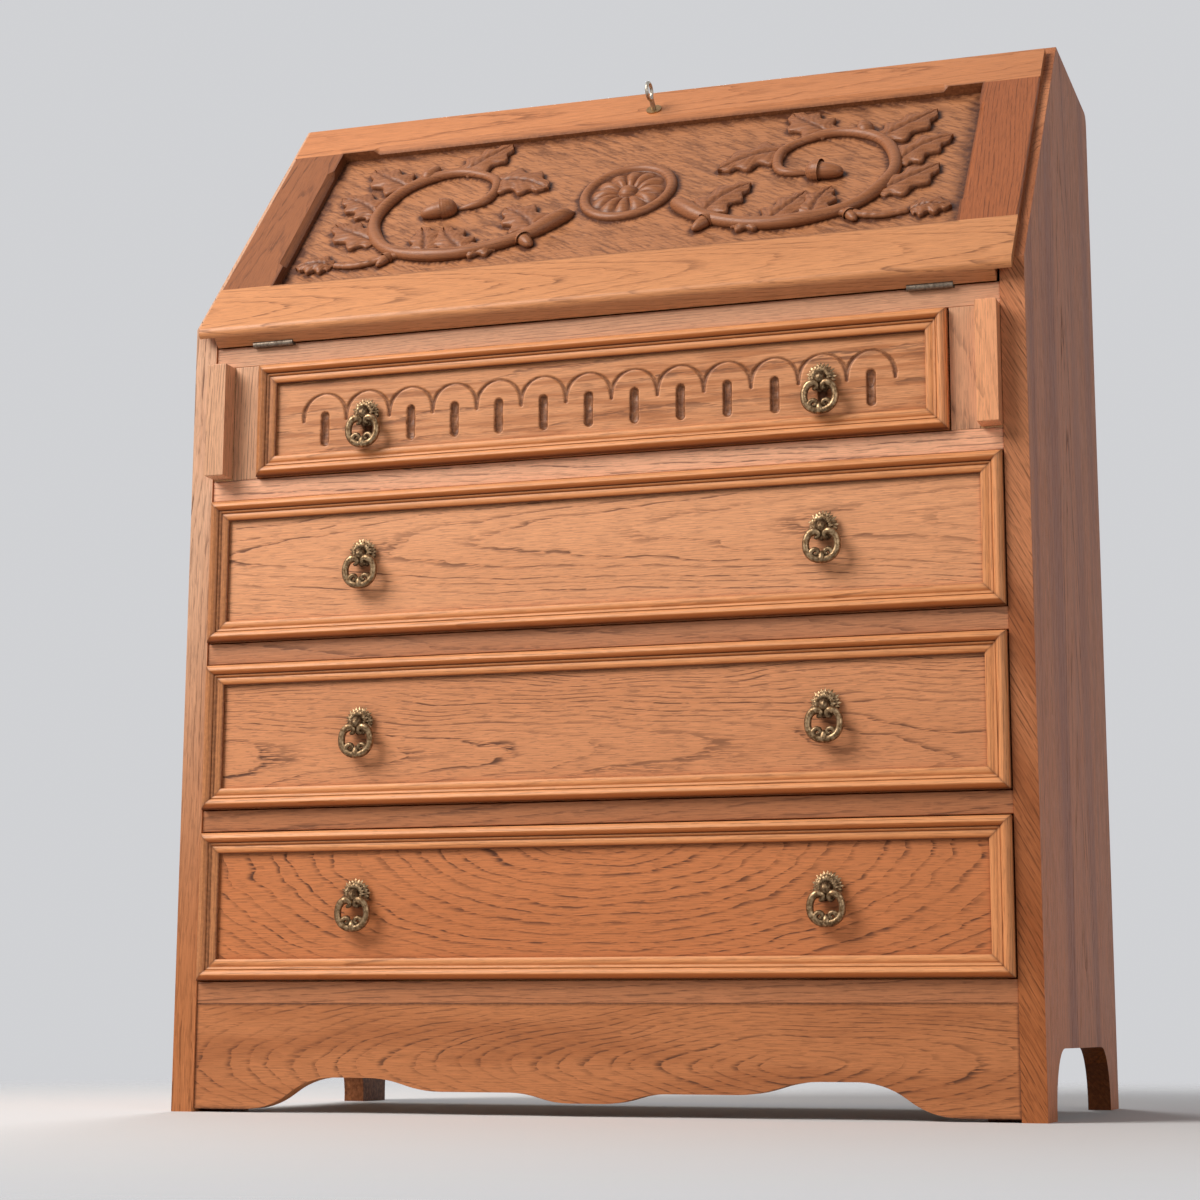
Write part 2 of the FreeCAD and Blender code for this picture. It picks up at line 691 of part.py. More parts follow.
def pull_rose():
    # Scalloped back plate with a low dome, a neck and the eye that the ring hangs in.
    # Origin on the drawer's face at the height of the eye
    centre = V(0, 0, ROSE_RISE)
    pieces = [cylinder(ROSE_R - ROSE_LOBE_R / 2, centre, centre - V(0, ROSE_T, 0))]
    for i in range(ROSE_LOBES):
        turn = 2 * math.pi * i / ROSE_LOBES
        lobe = centre + V(math.sin(turn), 0, math.cos(turn)) * (ROSE_R - ROSE_LOBE_R)
        pieces.append(cylinder(ROSE_LOBE_R, lobe, lobe - V(0, ROSE_T, 0)))
    crown = centre - V(0, ROSE_T, 0)
    pieces.append(Part.makeCone(DOME_R, NECK_R, DOME_H, crown, V(0, -1, 0)))
    eye = V(0, -EYE_REACH, 0)
    pieces.append(cylinder(NECK_R, V(), eye))
    half = V(EYE_T / 2, 0, 0)
    pieces.append(cylinder(EYE_R, eye - half, eye + half))
    hole = cylinder(RING_WIRE_R + RING_CLEAR, eye - V(ROSE_R, 0, 0), eye + V(ROSE_R, 0, 0))
    return joined(pieces).cut(hole)


def pull_ring():
    return Part.makeTorus(RING_R, RING_WIRE_R, V(0, -EYE_REACH, -RING_R), V(0, 1, 0))


def build_drawer(number, half_opening, z, opening, pull_rise):
    name = "drawer_%d_" % number
    half = half_opening - DRAWER_GAP
    low = z + DRAWER_LIFT
    high = z + opening - DRAWER_GAP
    front_back = FRONT + DRAWER_FRONT_T
    box_rear = BACK_FACE - DRAWER_BACK_SPACE
    side_in = half - DRAWER_SIDE_T
    side_top = z + opening - DRAWER_SIDE_DROP
    floor = z + DRAWER_BOTTOM_RAISE
    tongue = side_in + DRAWER_GROOVE
    groove_front = front_back - DRAWER_GROOVE
    bottom = box(-tongue, tongue, groove_front, box_rear, floor, floor + DRAWER_BOTTOM_T)

    front = box(-half, half, FRONT, front_back, low, high).cut(bottom)
    eye_z = z + opening / 2 + pull_rise
    if number == 1:
        front = front.cut(arcade(eye_z))
    save(name + "front", [front])
    save(name + "moulding", moulding(half, low, high))
    side = box(side_in, half, front_back, box_rear, z, side_top).cut(bottom)
    back = box(-side_in, side_in, box_rear - DRAWER_SIDE_T, box_rear, floor + DRAWER_BOTTOM_T, side_top)
    save(name + "box", both_sides(side) + [back])
    save(name + "bottom", [bottom])

    places = [V(side_x * PULL_SPACING / 2, FRONT, eye_z) for side_x in (-1, 1)]
    rose = pull_rose()
    save(name + "pull_roses", [rose.translated(place) for place in places])
    for side_name, place in zip(("left", "right"), places):
        save(name + "ring_" + side_name, [pull_ring().translated(place)])


def build_drawers():
    openings = [z + RAIL_T for z in RAIL_Z]
    build_drawer(1, PARTITION_IN, openings[-1], UPPER_OPENING, PULL_RISE_UPPER)
    for i in range(LOWER_DRAWERS):
        build_drawer(2 + i, INSIDE, openings[LOWER_DRAWERS - 1 - i], LOWER_OPENING, PULL_RISE_LOWER)


os.makedirs("parts", exist_ok=True)
build_carcass()
build_fall()
build_lopers()
build_drawers()
print("hinge axis", HINGE_AXIS, "slope angle", math.degrees(SLOPE_ANGLE), "front", FRONT, "rear", REAR)
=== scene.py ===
import json
import math
import bpy
import numpy as np
from mathutils import Matrix, Vector


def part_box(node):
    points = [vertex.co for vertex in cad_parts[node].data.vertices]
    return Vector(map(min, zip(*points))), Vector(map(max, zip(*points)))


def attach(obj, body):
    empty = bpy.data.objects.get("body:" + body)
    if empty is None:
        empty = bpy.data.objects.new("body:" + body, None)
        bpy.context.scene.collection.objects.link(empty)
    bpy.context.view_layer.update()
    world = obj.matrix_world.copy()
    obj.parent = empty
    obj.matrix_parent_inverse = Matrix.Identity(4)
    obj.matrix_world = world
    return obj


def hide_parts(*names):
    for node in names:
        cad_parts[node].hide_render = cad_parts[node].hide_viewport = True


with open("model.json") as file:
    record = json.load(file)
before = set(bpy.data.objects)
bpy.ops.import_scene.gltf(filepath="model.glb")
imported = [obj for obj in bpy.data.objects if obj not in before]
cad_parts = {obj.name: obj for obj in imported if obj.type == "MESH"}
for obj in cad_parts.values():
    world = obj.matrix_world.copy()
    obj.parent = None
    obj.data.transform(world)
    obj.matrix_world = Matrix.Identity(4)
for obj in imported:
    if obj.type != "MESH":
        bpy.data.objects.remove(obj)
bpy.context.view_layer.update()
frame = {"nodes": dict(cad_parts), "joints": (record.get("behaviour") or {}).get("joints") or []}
cadNodes = frame["nodes"]
print("frame loaded:", len(cadNodes), "nodes")


# Slope frame of the fall: x right, y up the slope from the hinge axis, z out of the slope
joints = {joint["name"]: joint for joint in frame["joints"]}
hingeAxis = np.array(joints["fall_hinge"]["pos_m"], float)
upSlope = np.array(joints["lock_bolt_slide"]["axis"], float)
offSlope = np.array([0, -upSlope[2], upSlope[1]])
slopeAngle = math.atan2(upSlope[2], upSlope[1])
firstAxis, secondAxis, thirdAxis = np.eye(3)


def onSlope(points):
    x, y, z = points[..., 0:1], points[..., 1:2], points[..., 2:3]
    return hingeAxis + x * firstAxis + y * upSlope + z * offSlope


def boardBox(name):
    low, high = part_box(name)
    return np.array(low), np.array(high)


# Mesh building: grids of points become quads, several grids become one piece
def gridFaces(rows, cols, wrapCols=False):
    i, j = np.meshgrid(np.arange(rows - 1), np.arange(cols if wrapCols else cols - 1), indexing="ij")
    here, beside = i * cols + j, i * cols + (j + 1) % cols
    return np.stack([here, here + cols, beside + cols, beside], -1).reshape(-1, 4)


class Surface:
    # Gathers grids with their own values per point
    def __init__(self):
        self.points, self.faces, self.values, self.count = [], [], {}, 0

    def add(self, grid, wrapCols=False, flip=False, **values):
        rows, cols = grid.shape[:2]
        faces = gridFaces(rows, cols, wrapCols) + self.count
        self.faces.append(faces[:, ::-1] if flip else faces)
        self.points.append(grid.reshape(-1, 3))
        self.count += rows * cols
        for key, value in values.items():
            shape = (rows, cols, 3) if key == "grain" else (rows, cols)
            self.values.setdefault(key, []).append(np.broadcast_to(value, shape).ravel())

    def addBoard(self, front, axis, level, place=np.asarray, **values):
        # Carved front, walls straight back from its rim to a level along one axis, and a flat back
        self.add(place(front), **values)
        rim = np.concatenate([front[:, 0], front[-1, 1:], front[-2::-1, -1], front[0, -2:0:-1]])
        wall = np.stack([rim, rim])
        flat = front[[0, 0, -1, -1], [0, -1, 0, -1]].reshape(2, 2, 3)
        wall[1, :, axis] = flat[..., axis] = level
        self.add(place(wall), wrapCols=True, grain=wall, glaze=0)
        self.add(place(flat), flip=True, grain=flat, glaze=0)

    def piece(self, name, material, body, slot, replaced=()):
        points = np.concatenate(self.points)
        faces = np.concatenate(self.faces)
        mesh = bpy.data.meshes.new(name)
        mesh.vertices.add(len(points))
        mesh.vertices.foreach_set("co", points.astype(np.float32).ravel())
        mesh.loops.add(faces.size)
        mesh.loops.foreach_set("vertex_index", faces.astype(np.int32).ravel())
        mesh.polygons.add(len(faces))
        mesh.polygons.foreach_set("loop_start", np.arange(0, faces.size, 4, dtype=np.int32))
        mesh.polygons.foreach_set("use_smooth", np.full(len(faces), True))
        for key, chunks in self.values.items():
            kind, field = ("FLOAT_VECTOR", "vector") if key == "grain" else ("FLOAT", "value")
            layer = mesh.attributes.new(key, kind, "POINT")
            layer.data.foreach_set(field, np.concatenate(chunks).astype(np.float32))
        mesh.update(calc_edges=True)
        mesh.validate()
        made = bpy.data.objects.new(name, mesh)
        bpy.context.scene.collection.objects.link(made)
        mesh.materials.append(material)
        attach(made, body)
        if replaced:
            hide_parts(*replaced)


# Shader building
def node(tree, kind, inputs=None, **settings):
    made = tree.nodes.new(kind)
    for key, value in settings.items():
        setattr(made, key, value)
    for key, value in (inputs or {}).items():
        if isinstance(value, bpy.types.NodeSocket):
            tree.links.new(value, made.inputs[key])
        else:
            made.inputs[key].default_value = value
    return made


def maths(tree, kind, a, b=0.0, c=0.0):
    return node(tree, "ShaderNodeMath", {0: a, 1: b, 2: c}, operation=kind).outputs[0]


def plus(tree, a, b):
    return maths(tree, "ADD", a, b)


def minus(tree, a, b):
    return maths(tree, "SUBTRACT", a, b)


def times(tree, a, b):
    return maths(tree, "MULTIPLY", a, b)


def timesPlus(tree, a, b, c):
    return maths(tree, "MULTIPLY_ADD", a, b, c)


def vectors(tree, kind, *inputs):
    return node(tree, "ShaderNodeVectorMath", dict(enumerate(inputs)), operation=kind).outputs[0]


def split(tree, vector):
    return node(tree, "ShaderNodeSeparateXYZ", {0: vector}).outputs


def clamped(tree, value):
    return node(tree, "ShaderNodeClamp", {0: value}).outputs[0]


def blend(tree, share, a, b, kind="MIX"):
    made = node(tree, "ShaderNodeMix", {0: share, 6: a, 7: b}, data_type="RGBA", blend_type=kind)
    return made.outputs[2]


def ramp(tree, value, low, high, start=0.0, end=1.0):
    inputs = {"Value": value, "From Min": low, "From Max": high, "To Min": start, "To Max": end}
    return node(tree, "ShaderNodeMapRange", inputs, interpolation_type="SMOOTHSTEP").outputs[0]


def noise(tree, vector, stretch, detail=2.0, rough=0.5):
    scaled = vectors(tree, "MULTIPLY", vector, stretch)
    inputs = {"Vector": scaled, "Scale": 1.0, "Detail": detail, "Roughness": rough}
    return node(tree, "ShaderNodeTexNoise", inputs).outputs[0]


def mapped(tree, vector, origin, turn):
    # The same point as a frame at that origin sees it, turned by those angles
    inputs = {"Vector": vector, "Location": origin, "Rotation": turn}
    return node(tree, "ShaderNodeMapping", inputs, vector_type="TEXTURE").outputs[0]


def attribute(tree, name, output="Fac"):
    return node(tree, "ShaderNodeAttribute", attribute_name=name).outputs[output]


def blankMaterial(name):
    made = bpy.data.materials.new(name)
    made.use_nodes = True
    tree = made.node_tree
    tree.nodes.clear()
    return made, tree, node(tree, "ShaderNodeTexCoord").outputs["Object"]


def group(name, inputs, outputs):
    tree = bpy.data.node_groups.new(name, "ShaderNodeTree")
    for label, kind in inputs.items():
        tree.interface.new_socket(label, in_out="INPUT", socket_type=kind)
    for label, kind in outputs.items():
        tree.interface.new_socket(label, in_out="OUTPUT", socket_type=kind)
    return tree, tree.nodes.new("NodeGroupInput").outputs, tree.nodes.new("NodeGroupOutput").inputs


vec, num, col = "NodeSocketVector", "NodeSocketFloat", "NodeSocketColor"

# Oak. Growth rings are the distance from a pith line along x, which tilts in depth by the pith's own x,
# plus the lean times x, warped by slow noise. Each ring opens with a porous band of dark dashes
# along the grain.
oakFigure = {
    # Noises: rate along and across the grain, detail, roughness
    "slow": (2.6, 9.0, 2.0, 0.5), "quick": (14.0, 60.0, 3.0, 0.5), "broken": (5.0, 28.0, 2.0, 0.5),
    "dash": (38.0, 400.0, 2.0, 0.6), "tick": (64.0, 720.0, 2.0, 0.6),
    "fibre": (34.0, 1400.0, 3.0, 0.6), "patch": (2.3, 16.0, 2.0, 0.5),
    # From and to which value a noise counts, and what it gives there
    "brokenRamp": (0.32, 0.56, 0.25, 1.0), "dashRamp": (0.45, 0.54), "tickRamp": (0.53, 0.63),
    "streakRamp": (0.35, 0.65), "fibreTone": (0.25, 0.75, 0.80, 1.13), "fibreRough": (0.2, 0.8, 0.36, 0.46),
    # Rings: wobble in pitches, rate and share of uneven spacing, both ends of the porous band, its strength
    "wobble": 1.1, "spacing": (0.37, 1.6), "early": (0.0, 0.30, 1.0, 0.0), "late": (0.95, 1.0),
    "strength": (0.55, 0.45),
    # Share of the band, and what is there without it
    "dashShare": (0.97, 0.03), "tickShare": (0.45, 0.26), "bandTone": (0.4, -0.26),
    "patchTone": 0.8, "poreRough": 0.25, "fibreHeight": 0.35,
}


def oakGroup(figure):
    tree, get, put = group("oakGrain", {
        "Vector": vec, "Pith": vec, "Lean": num, "Pitch": num, "Warp": num, "Pores": num, "Streak": num,
        "Rate": vec, "Pale": col, "Deep": col, "Pore": col}, {"Color": col, "Roughness": num, "Height": num})

    def grainNoise(name):
        along, across, detail, rough = figure[name]
        return noise(tree, get["Vector"], (along, across, across), detail, rough)

    def centred(value):
        return minus(tree, value, 0.5)

    at, pith = split(tree, get["Vector"]), split(tree, get["Pith"])
    warp = times(tree, centred(grainNoise("slow")), get["Warp"])
    across = plus(tree, minus(tree, at["Y"], pith["Y"]), warp)
    depth = minus(tree, minus(tree, at["Z"], pith["Z"]), times(tree, at["X"], pith["X"]))
    radius = maths(tree, "SQRT", plus(tree, times(tree, across, across), times(tree, depth, depth)))
    wobble = times(tree, centred(grainNoise("quick")), times(tree, get["Pitch"], figure["wobble"]))
    reach = plus(tree, plus(tree, radius, times(tree, at["X"], get["Lean"])), wobble)
    turns = maths(tree, "DIVIDE", reach, get["Pitch"])
    rate, share = figure["spacing"]
    spread = noise(tree, node(tree, "ShaderNodeCombineXYZ", {0: turns}).outputs[0], (rate, 1.0, 1.0), 1.0)
    turns = timesPlus(tree, spread, share, turns)
    ring, count = maths(tree, "FRACT", turns), maths(tree, "FLOOR", turns)
    which = node(tree, "ShaderNodeTexWhiteNoise", {"W": count}, noise_dimensions="1D").outputs[0]
    band = maths(tree, "MAXIMUM", ramp(tree, ring, *figure["early"]), ramp(tree, ring, *figure["late"]))
    band = times(tree, band, timesPlus(tree, which, *figure["strength"]))
    band = times(tree, band, ramp(tree, grainNoise("broken"), *figure["brokenRamp"]))
    dash = ramp(tree, grainNoise("dash"), *figure["dashRamp"])
    tick = ramp(tree, grainNoise("tick"), *figure["tickRamp"])
    fibre = grainNoise("fibre")
    pore = times(tree, dash, timesPlus(tree, band, *figure["dashShare"]))
    pore = maths(tree, "MAXIMUM", pore, times(tree, tick, timesPlus(tree, band, *figure["tickShare"])))
    pore = times(tree, pore, get["Pores"])
    tone = timesPlus(tree, band, *figure["bandTone"])
    tone = timesPlus(tree, grainNoise("patch"), figure["patchTone"], tone)
    streaks = centred(ramp(tree, noise(tree, get["Vector"], get["Rate"]), *figure["streakRamp"]))
    tone = timesPlus(tree, streaks, get["Streak"], tone)
    body = blend(tree, clamped(tree, tone), get["Pale"], get["Deep"])
    stained = blend(tree, clamped(tree, pore), body, get["Pore"])
    inputs = {0: stained, "Scale": ramp(tree, fibre, *figure["fibreTone"])}
    toned = node(tree, "ShaderNodeVectorMath", inputs, operation="SCALE").outputs[0]
    rough = timesPlus(tree, pore, figure["poreRough"], ramp(tree, fibre, *figure["fibreRough"]))
    tree.links.new(toned, put["Color"])
    tree.links.new(rough, put["Roughness"])
    tree.links.new(minus(tree, times(tree, fibre, figure["fibreHeight"]), pore), put["Height"])
    return tree


# Dark colour for painted shade in corners and quirks, and for real stain: a mask broken up by noise,
# darkening a colour
shadeStainStyle = {
    "color": (0.085, 0.026, 0.010, 1), "noise": ((260.0,) * 3, 3.0, 0.6), "ramp": (0.2, 0.7, 0.55, 1.0),
}


def shadeStainGroup(style):
    inputs = {"Vector": vec, "Color": col, "Mask": num, "Stain": col}
    tree, get, put = group("cornerStain", inputs, {"Color": col})
    rag = ramp(tree, noise(tree, get["Vector"], *style["noise"]), *style["ramp"])
    share = clamped(tree, times(tree, get["Mask"], rag))
    tree.links.new(blend(tree, share, get["Color"], get["Stain"]), put["Color"])
    return tree


# How near a point of a flat face is to the edge of a rectangle: one at the edge, zero past the given reach
def rimGroup():
    tree, get, put = group("rimMask", {"Vector": vec, "Half": vec, "Reach": num}, {"Mask": num})
    left = split(tree, vectors(tree, "SUBTRACT", get["Half"], vectors(tree, "ABSOLUTE", get["Vector"])))
    share = maths(tree, "DIVIDE", maths(tree, "MINIMUM", left["X"], left["Y"]), get["Reach"])
    tree.links.new(ramp(tree, share, 0.0, 1.0, 1.0, 0.0), put["Mask"])
    return tree


oakGrain, cornerStain, rimMask = oakGroup(oakFigure), shadeStainGroup(shadeStainStyle), rimGroup()

# Pale wood, deep wood and pores of each tone
oakTones = {
    "warm": ((0.80, 0.345, 0.155), (0.56, 0.20, 0.073), (0.15, 0.058, 0.028)),
    "tawny": ((0.70, 0.282, 0.118), (0.48, 0.165, 0.058), (0.13, 0.048, 0.022)),
    "honey": ((0.64, 0.25, 0.10), (0.44, 0.148, 0.051), (0.12, 0.044, 0.02)),
    "brick": ((0.52, 0.185, 0.075), (0.345, 0.105, 0.038), (0.095, 0.033, 0.015)),
    "rail": ((0.56, 0.225, 0.098), (0.37, 0.128, 0.049), (0.10, 0.038, 0.019)),
    "rose": ((0.68, 0.31, 0.16), (0.50, 0.205, 0.095), (0.20, 0.08, 0.04)),
    "amber": ((0.64, 0.222, 0.079), (0.44, 0.13, 0.038), (0.12, 0.04, 0.017)),
    "umber": ((0.47, 0.178, 0.073), (0.32, 0.106, 0.038), (0.085, 0.03, 0.014)),
    "red": ((0.44, 0.132, 0.045), (0.285, 0.072, 0.022), (0.085, 0.027, 0.012)),
    "pale": ((0.72, 0.44, 0.22), (0.57, 0.31, 0.14), (0.26, 0.125, 0.055)),
    "carved": ((0.60, 0.243, 0.106), (0.42, 0.148, 0.057), (0.11, 0.039, 0.018)),
}
# Painted amber bounce light and painted shade on faces that look down, the shade darkest where they look
# straight down: colour, and the upward part of the normal at which it is full and gone
underShadeAndBounce = (((0.38, 0.085, 0.005, 1), -0.55, 0.16), ((0.085, 0.019, 0.002, 1), -0.94, -0.5))
polishStyle = {"bumpDepth": 0.0006, "coatRough": 0.3}
frontFacing = -0.7  # A face whose normal points further forward is a front edge


def turned(axis, degrees):
    return Matrix.Rotation(math.radians(degrees), 3, axis)


# Grain directions: which way of the frame the board's own x, y and z point
slopeTurn = Matrix.Rotation(slopeAngle, 3, "X")
grainTurns = {name: tuple(turn.to_euler()) for name, turn in {
    "front": turned("X", 90), "upright": turned("Y", -90) @ turned("X", 90), "side": turned("Y", -90),
    "deep": turned("Z", 90), "flat": turned("Z", 0), "slope": slopeTurn,
    "slopeUp": slopeTurn @ turned("Z", 90),
}.items()}


def oakMaterial(name, tone, pith, lean, pitch, warp, pores, turn="front", origin=(0, 0, 0), ownGrain=False,
                tint=(1, 1, 1), streak=0.0, rate=(9.0, 150.0, 150.0), bump=0.25, coat=0.06, gloss=0.25,
                edge=None, paintedFalloff=None, under=0.0, footShade=None, rim=None, glaze=0.0, strokes=None):
    made, tree, place = blankMaterial(name)
    at, facing = split(tree, place), split(tree, node(tree, "ShaderNodeNewGeometry").outputs["Normal"])
    if ownGrain:
        vector = vectors(tree, "ADD", attribute(tree, "grain", "Vector"), origin)
    else:
        vector = mapped(tree, place, origin, grainTurns[turn])
    if edge:
        # The front edge of the board shows grain of its own, which runs aslant
        front = maths(tree, "LESS_THAN", facing["Y"], frontFacing)
        aslant = mapped(tree, place, edge["origin"], (0, math.radians(edge["slant"]), 0))
        vector = node(tree, "ShaderNodeMix", {0: front, 4: vector, 5: aslant}, data_type="VECTOR").outputs[1]
    pale, deep, pore = [tuple(np.multiply(shade, tint)) + (1,) for shade in oakTones[tone]]
    oak = node(tree, "ShaderNodeGroup", node_tree=oakGrain, inputs={
        "Vector": vector, "Pith": pith, "Lean": lean, "Pitch": pitch, "Warp": warp, "Pores": pores,
        "Streak": streak, "Rate": rate, "Pale": pale, "Deep": deep, "Pore": pore})
    color, height = oak.outputs["Color"], oak.outputs["Height"]
    if edge:
        color = blend(tree, front, color, edge["tint"] + (1,), "MULTIPLY")
    if paintedFalloff:
        # Painted light falloff: the tone changes from the foot of the piece to its top, darker at the foot
        # and paler with a painted sheen at the top
        level = ramp(tree, at["Z"], paintedFalloff["low"], paintedFalloff["high"])
        change = blend(tree, level, paintedFalloff["below"] + (1,), paintedFalloff["above"] + (1,))
        color = blend(tree, front if edge else 1.0, color, change, "MULTIPLY")
    # Faces that look down get painted bounce light and painted shade
    if under:
        for polish, full, gone in underShadeAndBounce:
            color = blend(tree, ramp(tree, facing["Z"], full, gone, under, 0.0), color, polish)
    masks = []
    if footShade:
        # Painted shade on the inner and cut faces near the floor
        inner = ramp(tree, times(tree, facing["X"], footShade["outward"]), *footShade["facing"], 1.0, 0.0)
        behind = times(tree, inner, ramp(tree, at["Y"], *footShade["behind"]))
        masks.append(times(tree, behind, ramp(tree, at["Z"], *footShade["level"], footShade["strength"], 0.0)))
    # Painted shade along the edges of a rectangle of the face
    if rim:
        local = mapped(tree, place, rim["middle"], grainTurns[rim["turn"]])
        inputs = {"Vector": local, "Half": rim["half"], "Reach": rim["reach"]}
        near = node(tree, "ShaderNodeGroup", inputs, node_tree=rimMask).outputs[0]
        masks.append(times(tree, near, rim["strength"]))
    # Painted shade carried on the mesh, with dark joint lines at the mitres
    if glaze:
        masks.append(times(tree, attribute(tree, "glaze"), glaze))
    if strokes:
        # Gouge strokes aslant, only above a height of the piece's own frame
        inputs = {"Vector": vector, "Rotation": (0, 0, math.radians(strokes["slant"]))}
        slanted = node(tree, "ShaderNodeMapping", inputs).outputs[0]
        cut = ramp(tree, noise(tree, slanted, *strokes["noise"]), *strokes["ramp"])
        cut = times(tree, cut, maths(tree, "GREATER_THAN", split(tree, vector)["Z"], strokes["above"]))
        masks.append(times(tree, cut, strokes["strength"]))
        height = minus(tree, height, times(tree, cut, strokes["depth"]))
    # Each mask darkens the colour, as painted shade or as stain at gouges and joints
    for mask in masks:
        inputs = {"Vector": vector, "Color": color, "Mask": mask, "Stain": shadeStainStyle["color"]}
        color = node(tree, "ShaderNodeGroup", inputs, node_tree=cornerStain).outputs["Color"]
    inputs = {"Strength": bump, "Distance": polishStyle["bumpDepth"], "Height": height}
    raised = node(tree, "ShaderNodeBump", inputs)
    shader = node(tree, "ShaderNodeBsdfPrincipled", {
        "Base Color": color, "Roughness": oak.outputs["Roughness"], "Normal": raised.outputs[0],
        "Specular IOR Level": gloss, "Coat Weight": coat, "Coat Roughness": polishStyle["coatRough"]})
    node(tree, "ShaderNodeOutputMaterial", {"Surface": shader.outputs[0]})
    return made


# Sawn nodes get a material, and eased edges where a width is given
easeStyle = {"width": 0.0008, "weld": 0.00002, "segments": 2, "angle": 40.0}


def dress(name, material, ease=easeStyle["width"]):
    made = cadNodes[name]
    made.data.materials.clear()
    made.data.materials.append(material)
    if ease:
        weld = made.modifiers.new("weld", "WELD")
        weld.merge_threshold = easeStyle["weld"]
        eased = made.modifiers.new("eased", "BEVEL")
        eased.width, eased.segments = ease, easeStyle["segments"]
        eased.limit_method, eased.angle_limit = "ANGLE", math.radians(easeStyle["angle"])
        made.modifiers.new("even", "WEIGHTED_NORMAL")


# Curves and noise shared by the pieces
def arcThrough(a, b, c, count):
    # Circle through three points of a plane, walked from the first to the last
    (ax, ay), (bx, by), (cx, cy) = a, b, c
    d = 2 * (ax * (by - cy) + bx * (cy - ay) + cx * (ay - by))
    sa, sb, sc = ax * ax + ay * ay, bx * bx + by * by, cx * cx + cy * cy
    ox = (sa * (by - cy) + sb * (cy - ay) + sc * (ay - by)) / d
    oy = (sa * (cx - bx) + sb * (ax - cx) + sc * (bx - ax)) / d
    angles = np.unwrap([math.atan2(y - oy, x - ox) for x, y in (a, b, c)])
    sweep = np.linspace(angles[0], angles[2], count)
    radius = math.hypot(ax - ox, ay - oy)
    return np.stack([ox + radius * np.cos(sweep), oy + radius * np.sin(sweep)], -1)


def smoothPath(points, count, spanSteps=24):
    # Catmull-Rom curve through the points, evenly spaced along its length
    p = np.asarray(points, float)
    p = np.concatenate([2 * p[:1] - p[1:2], p, 2 * p[-1:] - p[-2:-1]])
    t = np.linspace(0, 1, spanSteps, endpoint=False)[:, None, None]
    a, b, c, d = p[:-3], p[1:-2], p[2:-1], p[3:]
    square, cube = 2 * a - 5 * b + 4 * c - d, 3 * b - a - 3 * c + d
    run = 0.5 * (2 * b + (c - a) * t + square * t ** 2 + cube * t ** 3)
    run = np.concatenate([run.transpose(1, 0, 2).reshape(-1, p.shape[1]), p[-2:-1]])
    length = np.concatenate([[0], np.cumsum(np.linalg.norm(np.diff(run, axis=0), axis=1))])
    even = np.linspace(0, length[-1], count)
    return np.stack([np.interp(even, length, run[:, k]) for k in range(p.shape[1])], -1)


def valueNoise(x, y, seed, size=256):
    # Random heights on whole numbers, eased between them
    table = np.random.default_rng(seed).random((size, size))
    ix, iy = np.floor(x).astype(int), np.floor(y).astype(int)
    fx, fy = easeStep(x - ix, 0, 1), easeStep(y - iy, 0, 1)

    def row(j):
        return table[ix % size, j % size] * (1 - fx) + table[(ix + 1) % size, j % size] * fx

    return row(iy) * (1 - fy) + row(iy + 1) * fy


def easeStep(x, low, high):
    # Smooth step from nought to one
    t = np.clip((x - low) / (high - low), 0, 1)
    return t * t * (3 - 2 * t)


def bell(x, middle, width):
    return np.exp(-((x - middle) / width) ** 2)


def halfRound(x, power=2):
    # One in the middle, falling to nought at one like the edge of a circle
    return np.sqrt(np.clip(1 - x ** power, 0, 1))


def downRows(count):
    return np.linspace(0, 1, count)[:, None]


def onceRound(count):
    return np.linspace(0, 2 * math.pi, count)[None, :]


# Drawer mouldings: one section carried along four sides and mitred. A point that lies a in from the edge
# starts a later and ends a earlier, so the ends meet on the diagonal.
mouldStyle = {
    "width": 0.019, "height": 0.008, "ease": 0.00028, "easeShare": 0.3, "arcSteps": 9,
    "nosing": ((0.0, 0.30), (0.085, 0.78), (0.26, 1.0), (0.40, 0.88), (0.49, 0.66)),
    "fillet": ((0.49, 0.60), (0.52, 0.60), (0.52, 0.67), (0.63, 0.58), (0.63, 0.52), (0.66, 0.51)),
    "bead": ((0.66, 0.51), (0.82, 0.58), (1.0, 0.26)),
    # Painted shade on the bottom, right, top and left strip: in the quirks, all over, and along the inner
    # edge
    "lines": (0.15, 0.2, 0.6, 1.3), "veil": (0.0, 0.0, 0.0, 0.58), "inner": (0.1, 0.1, 1.0, 1.0),
    "quirks": ((0.50, 0.04, 0.72), (0.645, 0.035, 0.6)), "foot": 0.30, "innerFrom": 0.97, "innerShare": 0.8,
    "mitre": 0.0012, "ends": (0, 0.0008, 0.003, 0.02), "steps": 26, "grainStep": (3.1, 0.13),
}


def mouldSection(style):
    # Arcs and straight fillets, each corner cut by two points a little way along its sides
    steps = style["arcSteps"]
    nosing = [arcThrough(*style["nosing"][:3], steps), arcThrough(*style["nosing"][2:], steps)[1:]]
    bead = arcThrough(*style["bead"], steps)
    run = np.concatenate([[(0.0, 0.0)], *nosing, style["fillet"], bead[1:], [(1.0, 0.0)]])
    run = run * [style["width"], style["height"]]
    corners = run[1:-1]

    def cut(other):
        way = other - corners
        length = np.linalg.norm(way, axis=1)[:, None]
        return corners + way / length * np.minimum(style["ease"], length * style["easeShare"])

    pairs = np.stack([cut(run[:-2]), cut(run[2:])], 1).reshape(-1, 2)
    section = np.concatenate([run[:1], pairs, run[-1:]])
    a, h = section[:, 0] / style["width"], section[:, 1] / style["height"]
    # Painted shade in the quirks, at the foot of the nosing and along the inner edge
    quirk = sum(bell(a, place, wide) * (h < top) for place, wide, top in style["quirks"])
    foot = (h < style["foot"]) * (1 - h / style["foot"]) * (a < 0.5)
    return section, quirk, foot, (a > style["innerFrom"]) * style["innerShare"]


